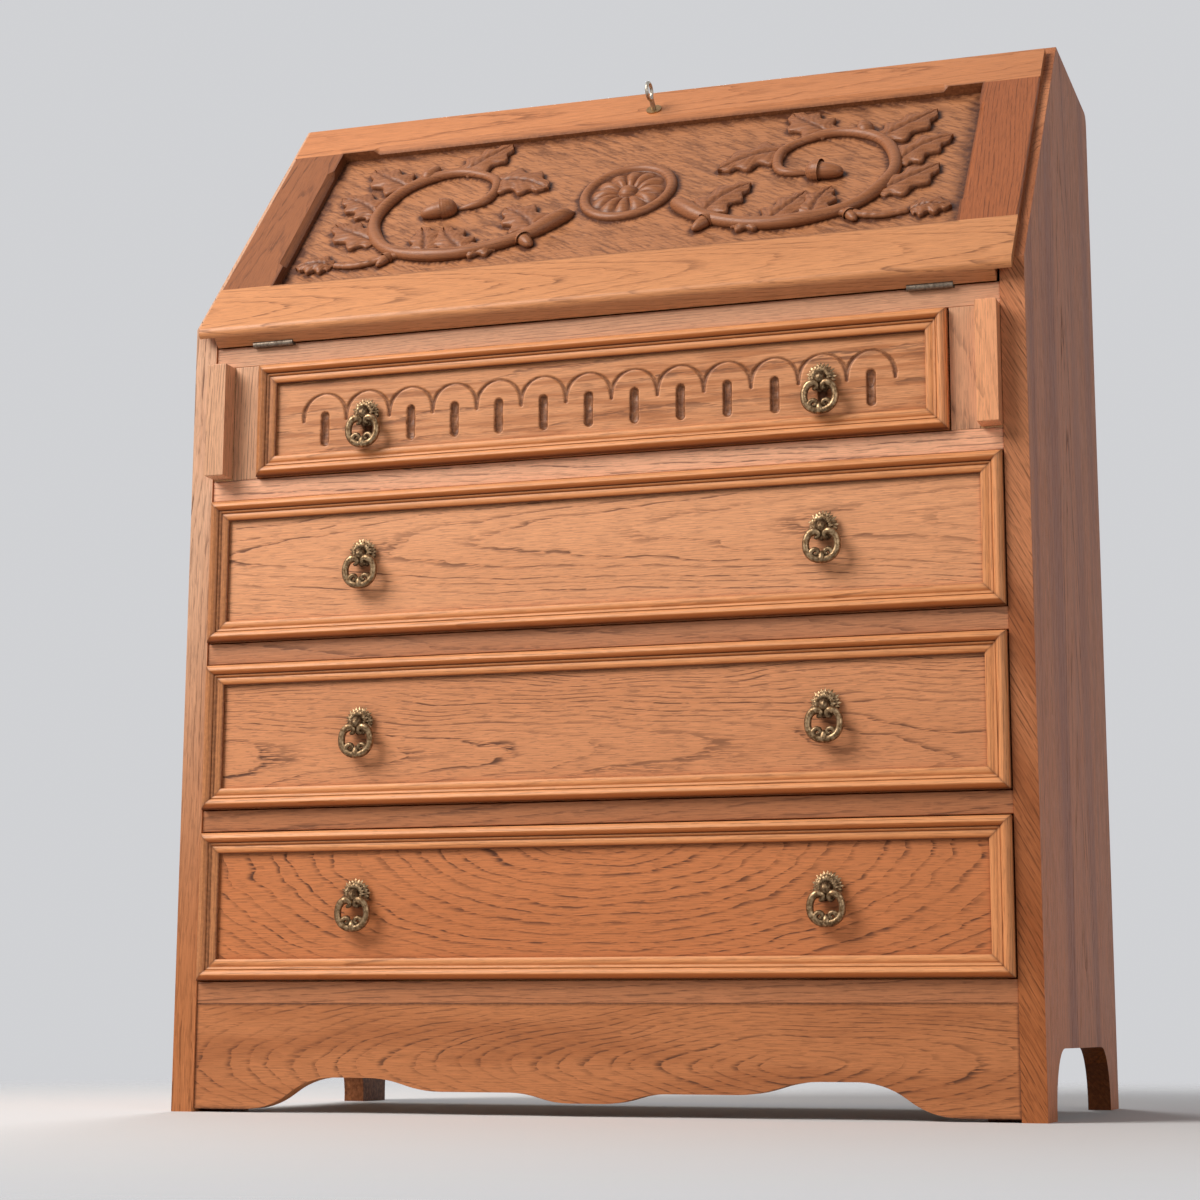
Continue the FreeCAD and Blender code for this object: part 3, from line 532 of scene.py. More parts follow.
def mouldingPiece(number, material):
    style = mouldStyle
    section, quirk, foot, inner = mouldSection(style)
    name = "drawer_%d_moulding" % number
    low, high = boardBox(name)
    face = boardBox("drawer_%d_front" % number)[0][1]
    middle, half = (low + high) / 2, (high - low) / 2
    made = Surface()
    a, h = section[None, :, 0], section[None, :, 1]
    for quarter in range(4):
        reach, away = (half[0], half[2]) if quarter % 2 == 0 else (half[2], half[0])
        lines, veil, edging = [style[key][quarter] for key in ("lines", "veil", "inner")]
        # Painted shade, heavier on the top and left strips that face away from the light; the mitres add a
        # dark joint line
        stain = lines * quirk + veil + foot + edging * inner
        ends = np.array(style["ends"]) / (2 * reach)
        between = np.linspace(ends[-1], 1 - ends[-1], style["steps"])[1:-1]
        t = np.concatenate([ends, between, 1 - ends[::-1]])[:, None]
        along = -reach + a + t * (2 * reach - 2 * a)
        out = away - a + 0 * t
        c, s = round(math.cos(quarter * math.pi / 2)), round(math.sin(quarter * math.pi / 2))
        x, z = along * c + out * s, along * s - out * c
        grid = np.stack([middle[0] + x, face - h + 0 * x, middle[2] + z], -1)
        mitre = np.exp(-np.minimum(t, 1 - t) * 2 * reach / style["mitre"])
        stepAlong, stepAcross = style["grainStep"]
        grain = [along + stepAlong * quarter + number, a + 0 * along + stepAcross * quarter, h + 0 * along]
        made.add(grid, grain=np.stack(grain, -1), glaze=np.clip(stain + mitre, 0, 1))
    made.piece("drawerMoulding%d" % number, material, "drawer_%d" % number, "oak", [name])


# Carved arcade on the upper drawer: the face sinks by the deepest of three cuts. An arch is a gouge line
# at one radius round its centre, a leg is a short upright line where two arches meet, a slot is a wide
# upright line.
arcadeStyle = {
    "arches": 13, "pullArch": 5, "rise": 0.004, "archDepth": 0.0019, "archLean": 0.35, "archFoot": -0.0002,
    "line": (0.0011, 0.0015, 1.6),  # Half width at the crown, gain at the foot, power
    "leg": 0.0035, "legTop": 0.001, "legHalf": 0.0021, "legTaper": 0.05, "legDepth": 1.1,
    "slotHalf": 0.0045, "slotLength": 0.0345, "slotDrop": 0.0081, "slotDepth": 0.0036,
    "ragged": (0.10, 900, 300), "scoop": (0.82, 0.36, 260, 160),  # Amounts, rates across and up
    # Mesh: step in the carving, its reach beyond the arches, below and above the pulls, and the plain rows
    "step": 0.00078, "margin": 0.004, "below": 0.031, "above": 0.0375, "plain": (0.01, 0.012, 0.015),
    "stain": (0.0002, 0.0016), "rimStain": 0.4, "rimReach": 0.003,
}


def arcadeDepth(x, z, eyeZ, pitch, style):
    spring, radius, depth = eyeZ + style["rise"], pitch / 2, style["archDepth"]
    first = -(style["arches"] - 1) / 2
    index = np.clip(np.round(x / pitch - first), 0, style["arches"] - 1) + first
    dx, dz = x - index * pitch, z - spring
    away = np.hypot(dx, dz)
    lean = np.abs(dx) / np.maximum(away, 1e-6)
    crown, gain, power = style["line"]
    off = np.abs(away - radius) / (crown + gain * lean ** power)
    arch = depth * (1 - style["archLean"] + style["archLean"] * lean) * np.clip(1 - off ** 2, 0, 1)
    arch = arch * (dz > style["archFoot"])
    legX = (np.round(x / pitch - 0.5) + 0.5) * pitch
    legX = np.clip(legX, -style["arches"] * radius, style["arches"] * radius)
    legZ = np.clip(z, spring - style["leg"], spring + style["legTop"])
    legOff = np.hypot(x - legX, z - legZ) / (style["legHalf"] - style["legTaper"] * (spring - legZ))
    leg = depth * style["legDepth"] * np.clip(1 - legOff ** 2, 0, 1)
    slotMid = eyeZ - style["slotDrop"]
    reach = style["slotLength"] / 2 - style["slotHalf"]
    slotZ = np.clip(z, slotMid - reach, slotMid + reach)
    amount, rateX, rateZ = style["ragged"]
    ragged = 1 + amount * (valueNoise(x * rateX, z * rateZ, 5) - 0.5)
    slotOff = np.hypot(dx, z - slotZ) / (style["slotHalf"] * ragged)
    least, amount, rateX, rateZ = style["scoop"]
    scoop = least + amount * valueNoise(x * rateX + 7, z * rateZ, 6)
    slot = style["slotDepth"] * scoop * np.clip(1 - slotOff ** 4, 0, 1)
    return np.maximum(np.maximum(arch, leg), slot)


def arcadePiece(material):
    style = arcadeStyle
    low, high = boardBox("drawer_1_front")
    pull = np.array(joints["drawer_1_ring_right_swing"]["pos_m"])
    pitch = pull[0] / style["pullArch"]
    edge = pitch * style["arches"] / 2 + style["margin"]
    beside, under, over = style["plain"]
    carvedX = np.arange(-edge, edge, style["step"])
    carvedZ = np.arange(pull[2] - style["below"], pull[2] + style["above"], style["step"])
    x = np.concatenate([[low[0], -edge - beside], carvedX, [edge, edge + beside, high[0]]])
    z = np.concatenate([[low[2], low[2] + under], carvedZ, [high[2] - over, high[2]]])
    gx, gz = np.meshgrid(x, z, indexing="ij")
    depth = arcadeDepth(gx, gz, pull[2], pitch, style)
    middle, half = (low + high) / 2, (high - low) / 2 - mouldStyle["width"]
    inner = np.minimum(half[0] - np.abs(gx - middle[0]), half[2] - np.abs(gz - middle[2]))
    # Painted shade in the deeper cuts and along the inner edge of the moulding
    stain = easeStep(depth, *style["stain"]) + style["rimStain"] * easeStep(-inner, -style["rimReach"], 0.0)
    made = Surface()
    made.addBoard(np.stack([gx, low[1] + depth, gz], -1), 1, high[1],
                  grain=np.stack([gx, gz - pull[2], -depth], -1), glaze=np.clip(stain, 0, 1))
    made.piece("carvedDrawerFront", material, "drawer_1", "oak", ["drawer_1_front"])


# Fall panel, in the slope's own frame: a ground cut back with short slanting gouge strokes
panelStyle = {
    "half": 0.341, "low": 0.074, "high": 0.3226, "top": 0.010, "step": 0.00136,
    "depth": 0.0009, "sink": 0.0001, "slant": -36.0, "stroke": (0.024, 0.0036), "bend": (0.004, 18),
    "finer": (1.7, 1.8), "share": 0.65,
    "stain": (0.1, 0.45, 26), "strokeStain": (0.5, 0.8), "rimStain": 0.8, "rimReach": 0.018,
    "spread": 7, "spreadFade": 0.84, "reliefStain": (0.3, 0.9), "reliefSink": 0.0011,
}
perMetre = 1000  # Carving and pulls are drawn in millimetres


def panelGround(x, y, style):
    # Two noises stretched along the stroke, bent by a slow one
    c, s = math.cos(math.radians(style["slant"])), math.sin(math.radians(style["slant"]))
    u, v = x * c + y * s, -x * s + y * c
    amount, rate = style["bend"]
    bend = amount * valueNoise(u * rate, v * rate, 11)
    (length, width), (finerU, finerV) = style["stroke"], style["finer"]
    first = valueNoise(u / length, (v + bend) / width, 12)
    second = valueNoise(u / length * finerU + 40, (v + bend) / width * finerV, 13)
    return style["share"] * first + (1 - style["share"]) * second


def reliefShade(x, y, relief, style):
    # Painted shade on the ground near the relief: cells under it are marked, then the mark spreads outwards
    # and fades
    mark = np.zeros((len(x), len(y)))
    for grid, signs, _ in relief:
        for sign in signs:
            column = np.round((grid[..., 0] * sign / perMetre - x[0]) / (x[1] - x[0])).astype(int).ravel()
            row = np.round((grid[..., 1] / perMetre + (y[-1] - y[0]) / 2) / (y[1] - y[0])).astype(int).ravel()
            inside = (column >= 0) & (column < len(x)) & (row >= 0) & (row < len(y))
            mark[column[inside], row[inside]] = 1
    for _ in range(style["spread"]):
        near = np.pad(mark, 1)
        around = np.maximum.reduce([near[:-2, 1:-1], near[2:, 1:-1], near[1:-1, :-2], near[1:-1, 2:]])
        mark = np.maximum(mark, style["spreadFade"] * around)
    return mark


def panelPiece(material, relief):
    style = panelStyle
    half, low, high = style["half"], style["low"], style["high"]
    x = np.linspace(-half, half, int(2 * half / style["step"]))
    y = np.linspace(low, high, int((high - low) / style["step"]))
    gx, gy = np.meshgrid(x, y, indexing="ij")
    cut = panelGround(gx, gy, style)
    height = style["top"] - style["sink"] - style["depth"] * (1 - cut)
    rimAway = np.minimum(half - np.abs(gx), np.minimum(gy - low, high - gy))
    # Painted shade in the deeper gouge cuts, broken up by a random cloud, near the panel's rim and round the
    # relief
    least, amount, rate = style["stain"]
    cloud = least + amount * valueNoise(gx * rate, gy * rate, 14)
    glaze = cloud * easeStep(1 - cut, *style["strokeStain"])
    glaze = glaze + style["rimStain"] * easeStep(-rimAway, -style["rimReach"], 0.0)
    glaze = glaze + easeStep(reliefShade(x, y, relief, style), *style["reliefStain"])
    made = Surface()
    made.addBoard(np.stack([gx, gy, height], -1), 2, 0.0, onSlope,
                  grain=np.stack([gx, gy - low, height], -1), glaze=np.clip(glaze, 0, 1))
    made.piece("carvedPanel", material, "fall", "oak", ["fall_panel"])


# Relief on the panel: leafy sprays on scrolled stems either side of a petalled boss. Heights are
# above the ground.
sprayStyle = {
    # Stems: path, radius at both ends, knots
    "stems": (
        (((50, -26), (96, -66), (166, -86), (236, -66), (268, -10), (250, 48), (200, 72), (152, 50),
          (152, 12), (184, 0)), (8.4, 4.4), 0.25),
        (((218, -74), (262, -88), (292, -84)), (5.2, 3.4), 0.2)),
    # Leaves: foot, angle, length, half width
    "leaves": (
        (84, -58, 62, 66, 22), (150, -84, 40, 62, 20), (196, -82, 88, 54, 18),
        (256, -46, 20, 68, 20), (268, 2, 52, 66, 20), (244, 52, 24, 70, 20), (196, 72, 150, 66, 21),
        (154, 48, -172, 72, 22), (292, -84, 12, 40, 14), (120, -76, -22, 40, 13)),
    # Acorns: place, angle, size
    "acorns": ((186, 0, -12, 1.45), (96, -66, -128, 1.0), (232, 64, 112, 1.05), (232, -78, -58, 0.8)),
    "foot": -0.6,
}
stemStyle = {
    "rows": 90, "sides": 14, "knotRate": 17, "tips": (0.02, 0.03, 0.02), "wrap": 0.35, "rise": (1.05, 0.3),
    "stain": (0.9, 4.0),
}
leafStyle = {
    "rows": 46, "columns": 19, "bend": 0.5, "taper": (1.02, 0.78, 0.75), "stalk": 1.6, "sweep": 0.22,
    "lobes": 3.6, "lobeStart": 0.15, "lobe": (0.82, 0.2), "edge": 2.4,
    "arch": 4.6, "archPower": 0.8, "fall": 0.7,
    "veins": 7.2, "veinSlant": 2.4, "veinPower": 10, "veinFrom": 0.1, "veinDepth": 0.7,
    "midrib": (2.4, 0.13), "tip": 2.4, "stain": (0.85, 0.45, 0.8, 0.12), "strength": 0.8,
}
acornStyle = {
    # Nut and cup: rows of the mesh, start, length, girth, power of the outline
    "nut": (20, 4, 19, 6.6, 2.4), "cup": (14, -4, 11, 8.2, 2.2), "sides": 29, "point": 0.05,
    "cross": 14, "slant": 2.25, "rough": 0.35, "roughTo": 7.01, "roughFrom": 4, "lift": 3.0,
    "stain": (0.85, 3.5, 0.2),
}
bossStyle = {
    "radius": 50.0, "rings": 64, "sides": 145, "dome": (8.5, 0.2), "petals": 12, "petal": (1.6, 5.2),
    "petalRun": 0.56, "petalPowers": (0.55, 0.9, 0.8), "notch": 0.22, "lap": 0.01,
    "rim": (6.2, 0.885, 0.115), "ground": (0.9, 0.99), "stain": (0.85, 4.2, 0.8),
}


def stemGrid(points, radii, knots):
    # Round bar along the path, sunk into the ground, with slow swellings
    style = stemStyle
    path = smoothPath(points, style["rows"])
    s = downRows(style["rows"])
    way = np.gradient(path, axis=0)
    way /= np.linalg.norm(way, axis=1)[:, None]
    side = np.stack([way[:, 1], -way[:, 0]], -1)
    swell = 1 + knots * (valueNoise(s * style["knotRate"], s * 0 + 3, 31) - 0.5)
    startTip, endTip, least = style["tips"]
    radius = (radii[0] + (radii[1] - radii[0]) * s) * swell
    radius = radius * np.sqrt(np.clip(np.minimum(s / startTip, (1 - s) / endTip), least, 1))
    turn = np.linspace(-style["wrap"], math.pi + style["wrap"], style["sides"])[None, :]
    flat = path[:, None, :] + side[:, None, :] * (radius * np.cos(turn))[..., None]
    rise, lift = style["rise"]
    height = radius * np.sin(turn) * rise + lift * radius
    # Painted shade where the stem sinks towards the ground
    strength, reach = style["stain"]
    return np.concatenate([flat, height[..., None]], -1), strength * easeStep(-height, -reach, 0.0)


def leafGrid(x, y, angle, length, width, seed):
    # Lobed leaf: half width swells and narrows along its length; a sunk midrib, side veins and raised lobes
    style = leafStyle
    s = downRows(style["rows"])
    t = np.concatenate([[-1.0], np.linspace(-1, 1, style["columns"]), [1.0]])[None, :]
    across = np.abs(t)
    bend = math.radians(angle) + (style["bend"] if seed % 2 else -style["bend"]) * s
    step = length / (style["rows"] - 1)
    ax = x + np.concatenate([[[0]], np.cumsum(np.cos(bend) * step, axis=0)[:-1]])
    ay = y + np.concatenate([[[0]], np.cumsum(np.sin(bend) * step, axis=0)[:-1]])
    stretch, early, full = style["taper"]
    envelope = np.clip(np.sin(math.pi * np.clip(s * stretch, 0, 1) ** early), 0, 1) ** full
    mean, swing = style["lobe"]
    lobes = mean + swing * np.cos(2 * math.pi * (style["lobes"] * s - style["lobeStart"]))
    half = width * envelope * lobes + style["stalk"] * (1 - s)
    swept = -style["sweep"] * half * across * np.sin(2 * math.pi * s)
    px = ax + np.cos(bend) * swept - np.sin(bend) * half * t
    py = ay + np.sin(bend) * swept + np.cos(bend) * half * t
    vein = np.abs(np.sin(math.pi * (style["veins"] * s - style["veinSlant"] * across))) ** style["veinPower"]
    ribDepth, ribWidth = style["midrib"]
    arch = np.sin(math.pi * s ** style["archPower"]) * (1 - style["fall"] * across ** 2)
    height = style["edge"] + style["arch"] * arch - ribDepth * bell(t, 0, ribWidth)
    height = height - style["veinDepth"] * vein * (across > style["veinFrom"]) + style["tip"] * s
    height[:, 0] = height[:, -1] = sprayStyle["foot"]
    # Painted shade at the sunk edges, in the veins and along the midrib
    edgeShade, veinShade, ribShade, ribWidth = style["stain"]
    shade = edgeShade * easeStep(-height, -style["edge"], 0.0) + veinShade * vein
    shade = shade + ribShade * bell(t, 0, ribWidth)
    return np.stack([px, py, height], -1), style["strength"] * np.clip(shade, 0, 1)


def acornGrids(x, y, angle, size):
    # Turned about its own axis: a pointed nut, and a cup with crossed lines
    style = acornStyle
    turn = onceRound(style["sides"])
    c, s = np.cos(math.radians(angle)), np.sin(math.radians(angle))
    strength, depth, lineShade = style["stain"]
    grids = []
    for part in ("nut", "cup"):
        rows, start, length, girth, power = style[part]
        run = downRows(rows)
        along = start + length * run
        radius = girth * halfRound(run if part == "nut" else 1 - run, power) + style["point"]
        lines = [np.cos(style["cross"] * turn + side * style["slant"] * along) for side in (1, -1)]
        rough = style["rough"] * lines[0] * lines[1] * (along < style["roughTo"])
        r = (radius + rough * (radius > style["roughFrom"])) * size
        px = x + c * along * size - s * r * np.cos(turn)
        py = y + s * along * size + c * r * np.cos(turn)
        height = r * np.sin(turn) + style["lift"] * size
        # Painted shade towards the ground and in the cup's crossed lines
        shade = strength * easeStep(-height, -depth, 0.0) + lineShade * (rough < 0)
        grids.append((np.stack([px, py, height], -1), shade))
    return grids


def bossGrid(style):
    # Disc in polar steps: dome, ring of petals, and a half-round rim
    r = np.concatenate([np.linspace(0, style["radius"], style["rings"]), [style["radius"]]])[:, None]
    turn = onceRound(style["sides"])
    share = r / style["radius"]
    (domeTop, domeEdge), (petalFoot, petalRise) = style["dome"], style["petal"]
    (rimTop, rimMiddle, rimHalf), (ground, groundEdge) = style["rim"], style["ground"]
    lobePower, early, full = style["petalPowers"]
    dome = domeTop * halfRound(share / domeEdge)
    lobe = np.abs(np.cos(turn * style["petals"] / 2)) ** lobePower
    run = np.clip((share - domeEdge) / style["petalRun"], 0, 1)
    reach = np.clip(run / (1 - style["notch"] + style["notch"] * lobe), 0, 1)
    petal = petalFoot + petalRise * np.sin(math.pi * reach ** early) ** full * lobe
    petal = petal * (share > domeEdge - style["lap"]) * (share < rimMiddle - rimHalf)
    rim = rimTop * halfRound((share - rimMiddle) / rimHalf)
    height = np.maximum(np.maximum(dome, petal), rim)
    height = np.maximum(height, ground * (share < groundEdge))
    height[-1] = sprayStyle["foot"]
    # Painted shade where the boss sinks towards the ground
    strength, gone, deepest = style["stain"]
    shade = strength * easeStep(-height, -gone, -deepest)
    return np.stack([r * np.cos(turn), r * np.sin(turn), height], -1), shade


def sprayGrids(style):
    # Each grid with the sides that it stands on, by sign, and its painted shade
    halves = [stemGrid(*stem) for stem in style["stems"]]
    halves += [leafGrid(*leaf, seed) for seed, leaf in enumerate(style["leaves"])]
    halves += [grid for acorn in style["acorns"] for grid in acornGrids(*acorn)]
    grid, shade = bossGrid(bossStyle)
    return [(grid, (1, -1), shade) for grid, shade in halves] + [(grid, (1,), shade)]


def sprayPiece(material, relief):
    made = Surface()
    middle = (panelStyle["low"] + panelStyle["high"]) / 2
    for grid, signs, shade in relief:
        x, y, z = np.moveaxis(grid, -1, 0)
        for sign in signs:
            level = z / perMetre + panelStyle["top"] - panelStyle["reliefSink"]
            local = np.stack([x * sign / perMetre, y / perMetre + middle, level], -1)
            made.add(onSlope(local), flip=sign < 0, grain=local, glaze=shade)
    made.piece("carvedSprays", material, "fall", "oak")


# Drop-ring pulls, about the eye: first right, second up, third out of the drawer
roseStyle = {
    "middle": 2.5, "plate": 11.4, "plateRise": (4.6, 3.4), "flutes": 11, "fluteDepth": (0.05, 0.35),
    "plateMesh": (16, 67), "plateStain": (1.1, 4),
    # Rows of leaves: count, fan in degrees, start, length, half width, height, rise
    "rows": ((21, 140.0, 4.0, 9.6, 2.0, 3.4, 2.6), (15, 124.0, 2.5, 8.2, 1.6, 5.8, 4.0)),
    "leafSteps": 16, "leafThick": (0.35, 0.55), "leafCrease": 0.9, "leafUneven": (0.12, 0.06, 9.1),
    "leafArch": (2.6, 0.8), "leafShape": (0.12, 0.8, 0.05), "leafStain": 0.75,
    "hood": (0, 1.9, 10.2), "hoodAxis": (0, -0.64, 0.768), "hoodCross": (0, 0.768, 0.64), "hoodLength": 6.2,
    "hoodGirth": 5.2, "hoodFlutes": (9, 0.06), "hoodMesh": (20, 37), "hoodStain": (0.95, 0.5), "point": 0.02,
    "neck": (1.0, 2.0, 8.0), "neckRadius": 3.0,
}
ringStyle = {
    "wire": 3.3, "eye": 11.5, "bulge": 0.5, "leaf": (0.27, 0.09, 0.14), "volute": (0.5, 0.24),
    # Steps of the side, the scroll and the bar
    "steps": (110, 60, 26), "tips": (0.02, 0.03, 0.3), "sides": 14,
    "side": ((6.2, -7.4), (4.7, -8.6), (2.9, -7.6), (2.6, -5.2), (4.6, -3.2), (8.0, -3.2), (11.4, -5.4),
             (13.6, -9.4), (14.4, -14.6), (13.4, -20.4), (10.2, -25.0), (5.2, -27.8), (0, -28.4)),
    "scroll": ((10.6, -24.6), (9.4, -21.4), (6.9, -19.4), (4.0, -19.9), (3.0, -22.2), (4.6, -24.0),
               (6.4, -23.0)),
    "scrollWire": (3.0, 1.5), "scrollLift": (0.4, 1.2), "bar": (4.6, -3.4, 2.2),
    "drop": (4.0, 5.8, -26.2), "dropMesh": (20, 25), "dropShape": (1.35, 0.75, 0.02),
    "ringStain": 0.1, "voluteStain": (0.6, 0.02, 0.2), "footStain": (0.35, 0.72, 0.95),
    "scrollStain": (0.15, 0.55), "barStain": 0.7, "dropStain": (0.1, 0.25),
}


def sweepGrid(path, wide, thick, lift, sides=12, crease=0.0):
    # Flattened bar along a path: its section is an ellipse across the path and along the lift direction
    way = np.gradient(path, axis=0)
    way /= np.maximum(np.linalg.norm(way, axis=1)[:, None], 1e-9)
    side = np.cross(way, lift)
    side /= np.maximum(np.linalg.norm(side, axis=1)[:, None], 1e-9)
    up = np.cross(side, way)
    turn = onceRound(sides + 1)[..., None]
    wide, thick = [np.broadcast_to(value, len(path))[:, None, None] for value in (wide, thick)]
    fold = crease * thick * np.abs(np.cos(turn))
    beside = side[:, None, :] * wide * np.cos(turn)
    above = up[:, None, :] * (thick * np.sin(turn) + fold)
    return path[:, None, :] + beside + above


def roseGrids(style):
    # Domed back plate, fluted round its edge
    middle, flutes = style["middle"], style["flutes"]
    rows, columns = style["plateMesh"]
    r, turn = np.concatenate([downRows(rows), [[1.0]]]), onceRound(columns)
    edgeFlute, faceFlute = style["fluteDepth"]
    top, fall = style["plateRise"]
    plate = style["plate"] * r * (1 + edgeFlute * r ** 3 * np.cos(flutes * turn))
    height = top - fall * r ** 2 + faceFlute * r * np.cos(flutes * turn)
    height[-1] = 0
    grid = np.stack([plate * np.sin(turn), middle + plate * np.cos(turn), height], -1)
    most, depth = style["plateStain"]
    grids = [(grid, np.clip(most - height / depth, 0, 1))]
    # Two rows of pointed leaves that fan out from the middle
    s = np.linspace(0, 1, style["leafSteps"])
    (thin, thicker), (arc, droop) = style["leafThick"], style["leafArch"]
    (upper, uneven, jump), (foot, power, tip) = style["leafUneven"], style["leafShape"]
    width = np.clip(np.sin(math.pi * (foot + (1 - foot) * s) ** power), 0, 1) ** power
    for count, fan, base, length, wide, low, rise in style["rows"]:
        for i, angle in enumerate(np.radians(np.linspace(-fan, fan, count))):
            reach = base + length * (1 + upper * math.cos(angle) + uneven * math.sin(jump * i)) * s
            arched = low + rise * np.sin(arc * s) - droop * s
            path = np.stack([np.sin(angle) * reach, middle + np.cos(angle) * reach, arched], -1)
            thick = thin + thicker * (1 - s)
            leaf = sweepGrid(path, wide * width + tip, thick, thirdAxis, crease=style["leafCrease"])
            grids.append((leaf, (style["leafStain"] * (1 - s))[:, None]))
    # Hood over the eye: an egg that leans down, with shallow flutes
    rows, columns = style["hoodMesh"]
    s, turn = downRows(rows), onceRound(columns)
    flutes, depth = style["hoodFlutes"]
    girth = style["hoodGirth"] * halfRound(2 * s - 1) * (1 + depth * np.cos(flutes * turn)) + style["point"]
    along = (2 * s - 1) * style["hoodLength"]
    hood = np.array(style["hood"]) + np.array(style["hoodAxis"]) * along[..., None]
    hood = hood + firstAxis * (girth * np.cos(turn))[..., None]
    hood = hood + np.array(style["hoodCross"]) * (girth * np.sin(turn))[..., None]
    most, less = style["hoodStain"]
    grids.append((hood, most - less * s))
    # Neck from the plate to the hood
    level, start, length = style["neck"]
    path = np.concatenate([0 * s, level + 0 * s, start + length * s], -1)
    return grids + [(sweepGrid(path, style["neckRadius"], style["neckRadius"], secondAxis, 14), 1.0)]


def ringGrids(style):
    grids, eye = [], style["eye"]
    (sideSteps, scrollSteps, barSteps), (startTip, endTip, blunt) = style["steps"], style["tips"]
    for sign in (1, -1):
        # Half ring: a volute that winds inwards at the top, then round the side to the bottom
        flat, s = smoothPath(style["side"], sideSteps), np.linspace(0, 1, sideSteps)
        path = np.stack([flat[:, 0] * sign, flat[:, 1], eye + style["bulge"] * np.sin(math.pi * s)], -1)
        (place, length, swell), (least, full) = style["leaf"], style["volute"]
        thick = style["wire"] * (least + (1 - least) * easeStep(s, 0.0, full))
        thick = thick * (1 + swell * bell(s, place, length)) * np.clip(s / startTip, blunt, 1)
        (top, topFrom, topTo), (foot, footFrom, footTo) = style["voluteStain"], style["footStain"]
        shade = top * (1 - easeStep(s, topFrom, topTo)) + style["ringStain"]
        shade = shade + foot * easeStep(s, footFrom, footTo)
        grids.append((sweepGrid(path, thick, thick, thirdAxis, style["sides"]), shade[:, None]))
        # Scroll that leaves the bottom of the ring and curls in
        flat, s = smoothPath(style["scroll"], scrollSteps), np.linspace(0, 1, scrollSteps)
        (wire, thinner), (lift, climb) = style["scrollWire"], style["scrollLift"]
        path = np.stack([flat[:, 0] * sign, flat[:, 1], eye + lift + climb * s], -1)
        curl = (wire - thinner * s) * np.clip((1 - s) / endTip, blunt, 1)
        least, more = style["scrollStain"]
        grids.append((sweepGrid(path, curl, curl, thirdAxis), (least + more * s)[:, None]))
    # Bar through the eye
    reach, sag, radius = style["bar"]
    s = np.linspace(-1, 1, barSteps)
    path = np.stack([reach * s, sag * s ** 2, eye + 0 * s], -1)
    grids.append((sweepGrid(path, radius, radius, thirdAxis), style["barStain"]))
    # Drop between the scrolls, widest near its foot
    rows, columns = style["dropMesh"]
    s, turn = downRows(rows), onceRound(columns)
    (wide, tall, level), (full, narrower, point) = style["drop"], style["dropShape"]
    girth = wide * np.sin(math.pi * s) * (full - narrower * s) + point
    height = level - tall * np.cos(math.pi * s) + 0 * turn
    drop = np.stack([girth * np.cos(turn), height, eye + lift + girth * np.sin(turn)], -1)
    least, more = style["dropStain"]
    return grids + [(drop, least + more * s)]


def pullPieces(material):
    rose, ring = roseGrids(roseStyle), ringGrids(ringStyle)
    for number in range(1, 5):
        face = boardBox("drawer_%d_front" % number)[0][1]
        roses = Surface()
        for side in ("left", "right"):
            name = "drawer_%d_ring_%s" % (number, side)
            eye = joints[name + "_swing"]["pos_m"]
            rings = Surface()
            for surface, grids in ((roses, rose), (rings, ring)):
                for grid, shade in grids:
                    right, up, out = np.moveaxis(grid, -1, 0) / perMetre
                    surface.add(np.stack([eye[0] + right, face - out, eye[2] + up], -1), glaze=shade)
            rings.piece("pullRing%d%s" % (number, side), material, name, "antique_brass", [name])
        roses.piece("pullRoses%d" % number, material, "drawer_%d" % number, "antique_brass",
                    ["drawer_%d_pull_roses" % number])


# Aged metal: bright where it is handled, dark in the hollows, broken up by fine noise
metalStyle = {
    "cloud": ((380.0,) * 3, 3.0, 0.6), "speck": ((1500.0,) * 3, 2.0, 0.6),  # Rates, detail, roughness
    "cloudRamp": (0.3, 0.7), "speckRamp": (0.62, 0.75, 0.0, 0.5), "hollow": (0.6, 0.6), "hollowRough": 0.3,
    "cloudRough": 0.14, "bump": 0.2, "bumpDepth": 0.0003,
}


def metalMaterial(name, bright, dull, hollow, worn=False, rough=0.28):
    style = metalStyle
    made, tree, place = blankMaterial(name)
    cloud = noise(tree, place, *style["cloud"])
    speck = noise(tree, place, *style["speck"])
    color = blend(tree, ramp(tree, cloud, *style["cloudRamp"]), bright + (1,), dull + (1,))
    mask = ramp(tree, speck, *style["speckRamp"])
    if worn:
        deep = times(tree, attribute(tree, "glaze"), timesPlus(tree, cloud, *style["hollow"]))
        mask = maths(tree, "MAXIMUM", mask, deep)
    share = clamped(tree, mask)
    color = blend(tree, share, color, hollow + (1,))
    polish = ramp(tree, cloud, *style["cloudRamp"], rough, rough + style["cloudRough"])
    polish = timesPlus(tree, share, style["hollowRough"], polish)
    inputs = {"Strength": style["bump"], "Distance": style["bumpDepth"], "Height": speck}
    raised = node(tree, "ShaderNodeBump", inputs).outputs[0]
    inputs = {"Base Color": color, "Roughness": polish, "Normal": raised, "Metallic": 1.0}
    shader = node(tree, "ShaderNodeBsdfPrincipled", inputs)
    node(tree, "ShaderNodeOutputMaterial", {"Surface": shader.outputs[0]})
    return made


# Small fixings. A screw head is a low dome cut by a straight slot, a pin is a plain dome.
screwStyle = {"radius": 0.0031, "rise": 0.0005, "fall": 0.6, "slot": 0.13, "slotWall": 0.02, "cut": 0.0004,
              "skirt": (0.999, -0.0001), "rows": 7, "columns": 11,
              "hinge": 0.042, "spread": 0.013, "across": 0.0128, "lockSpread": 0.38}
pinStyle = {"radius": 0.0019, "rise": 0.0006, "inset": 0.006, "spacing": 0.115, "rings": 5, "sides": 13}


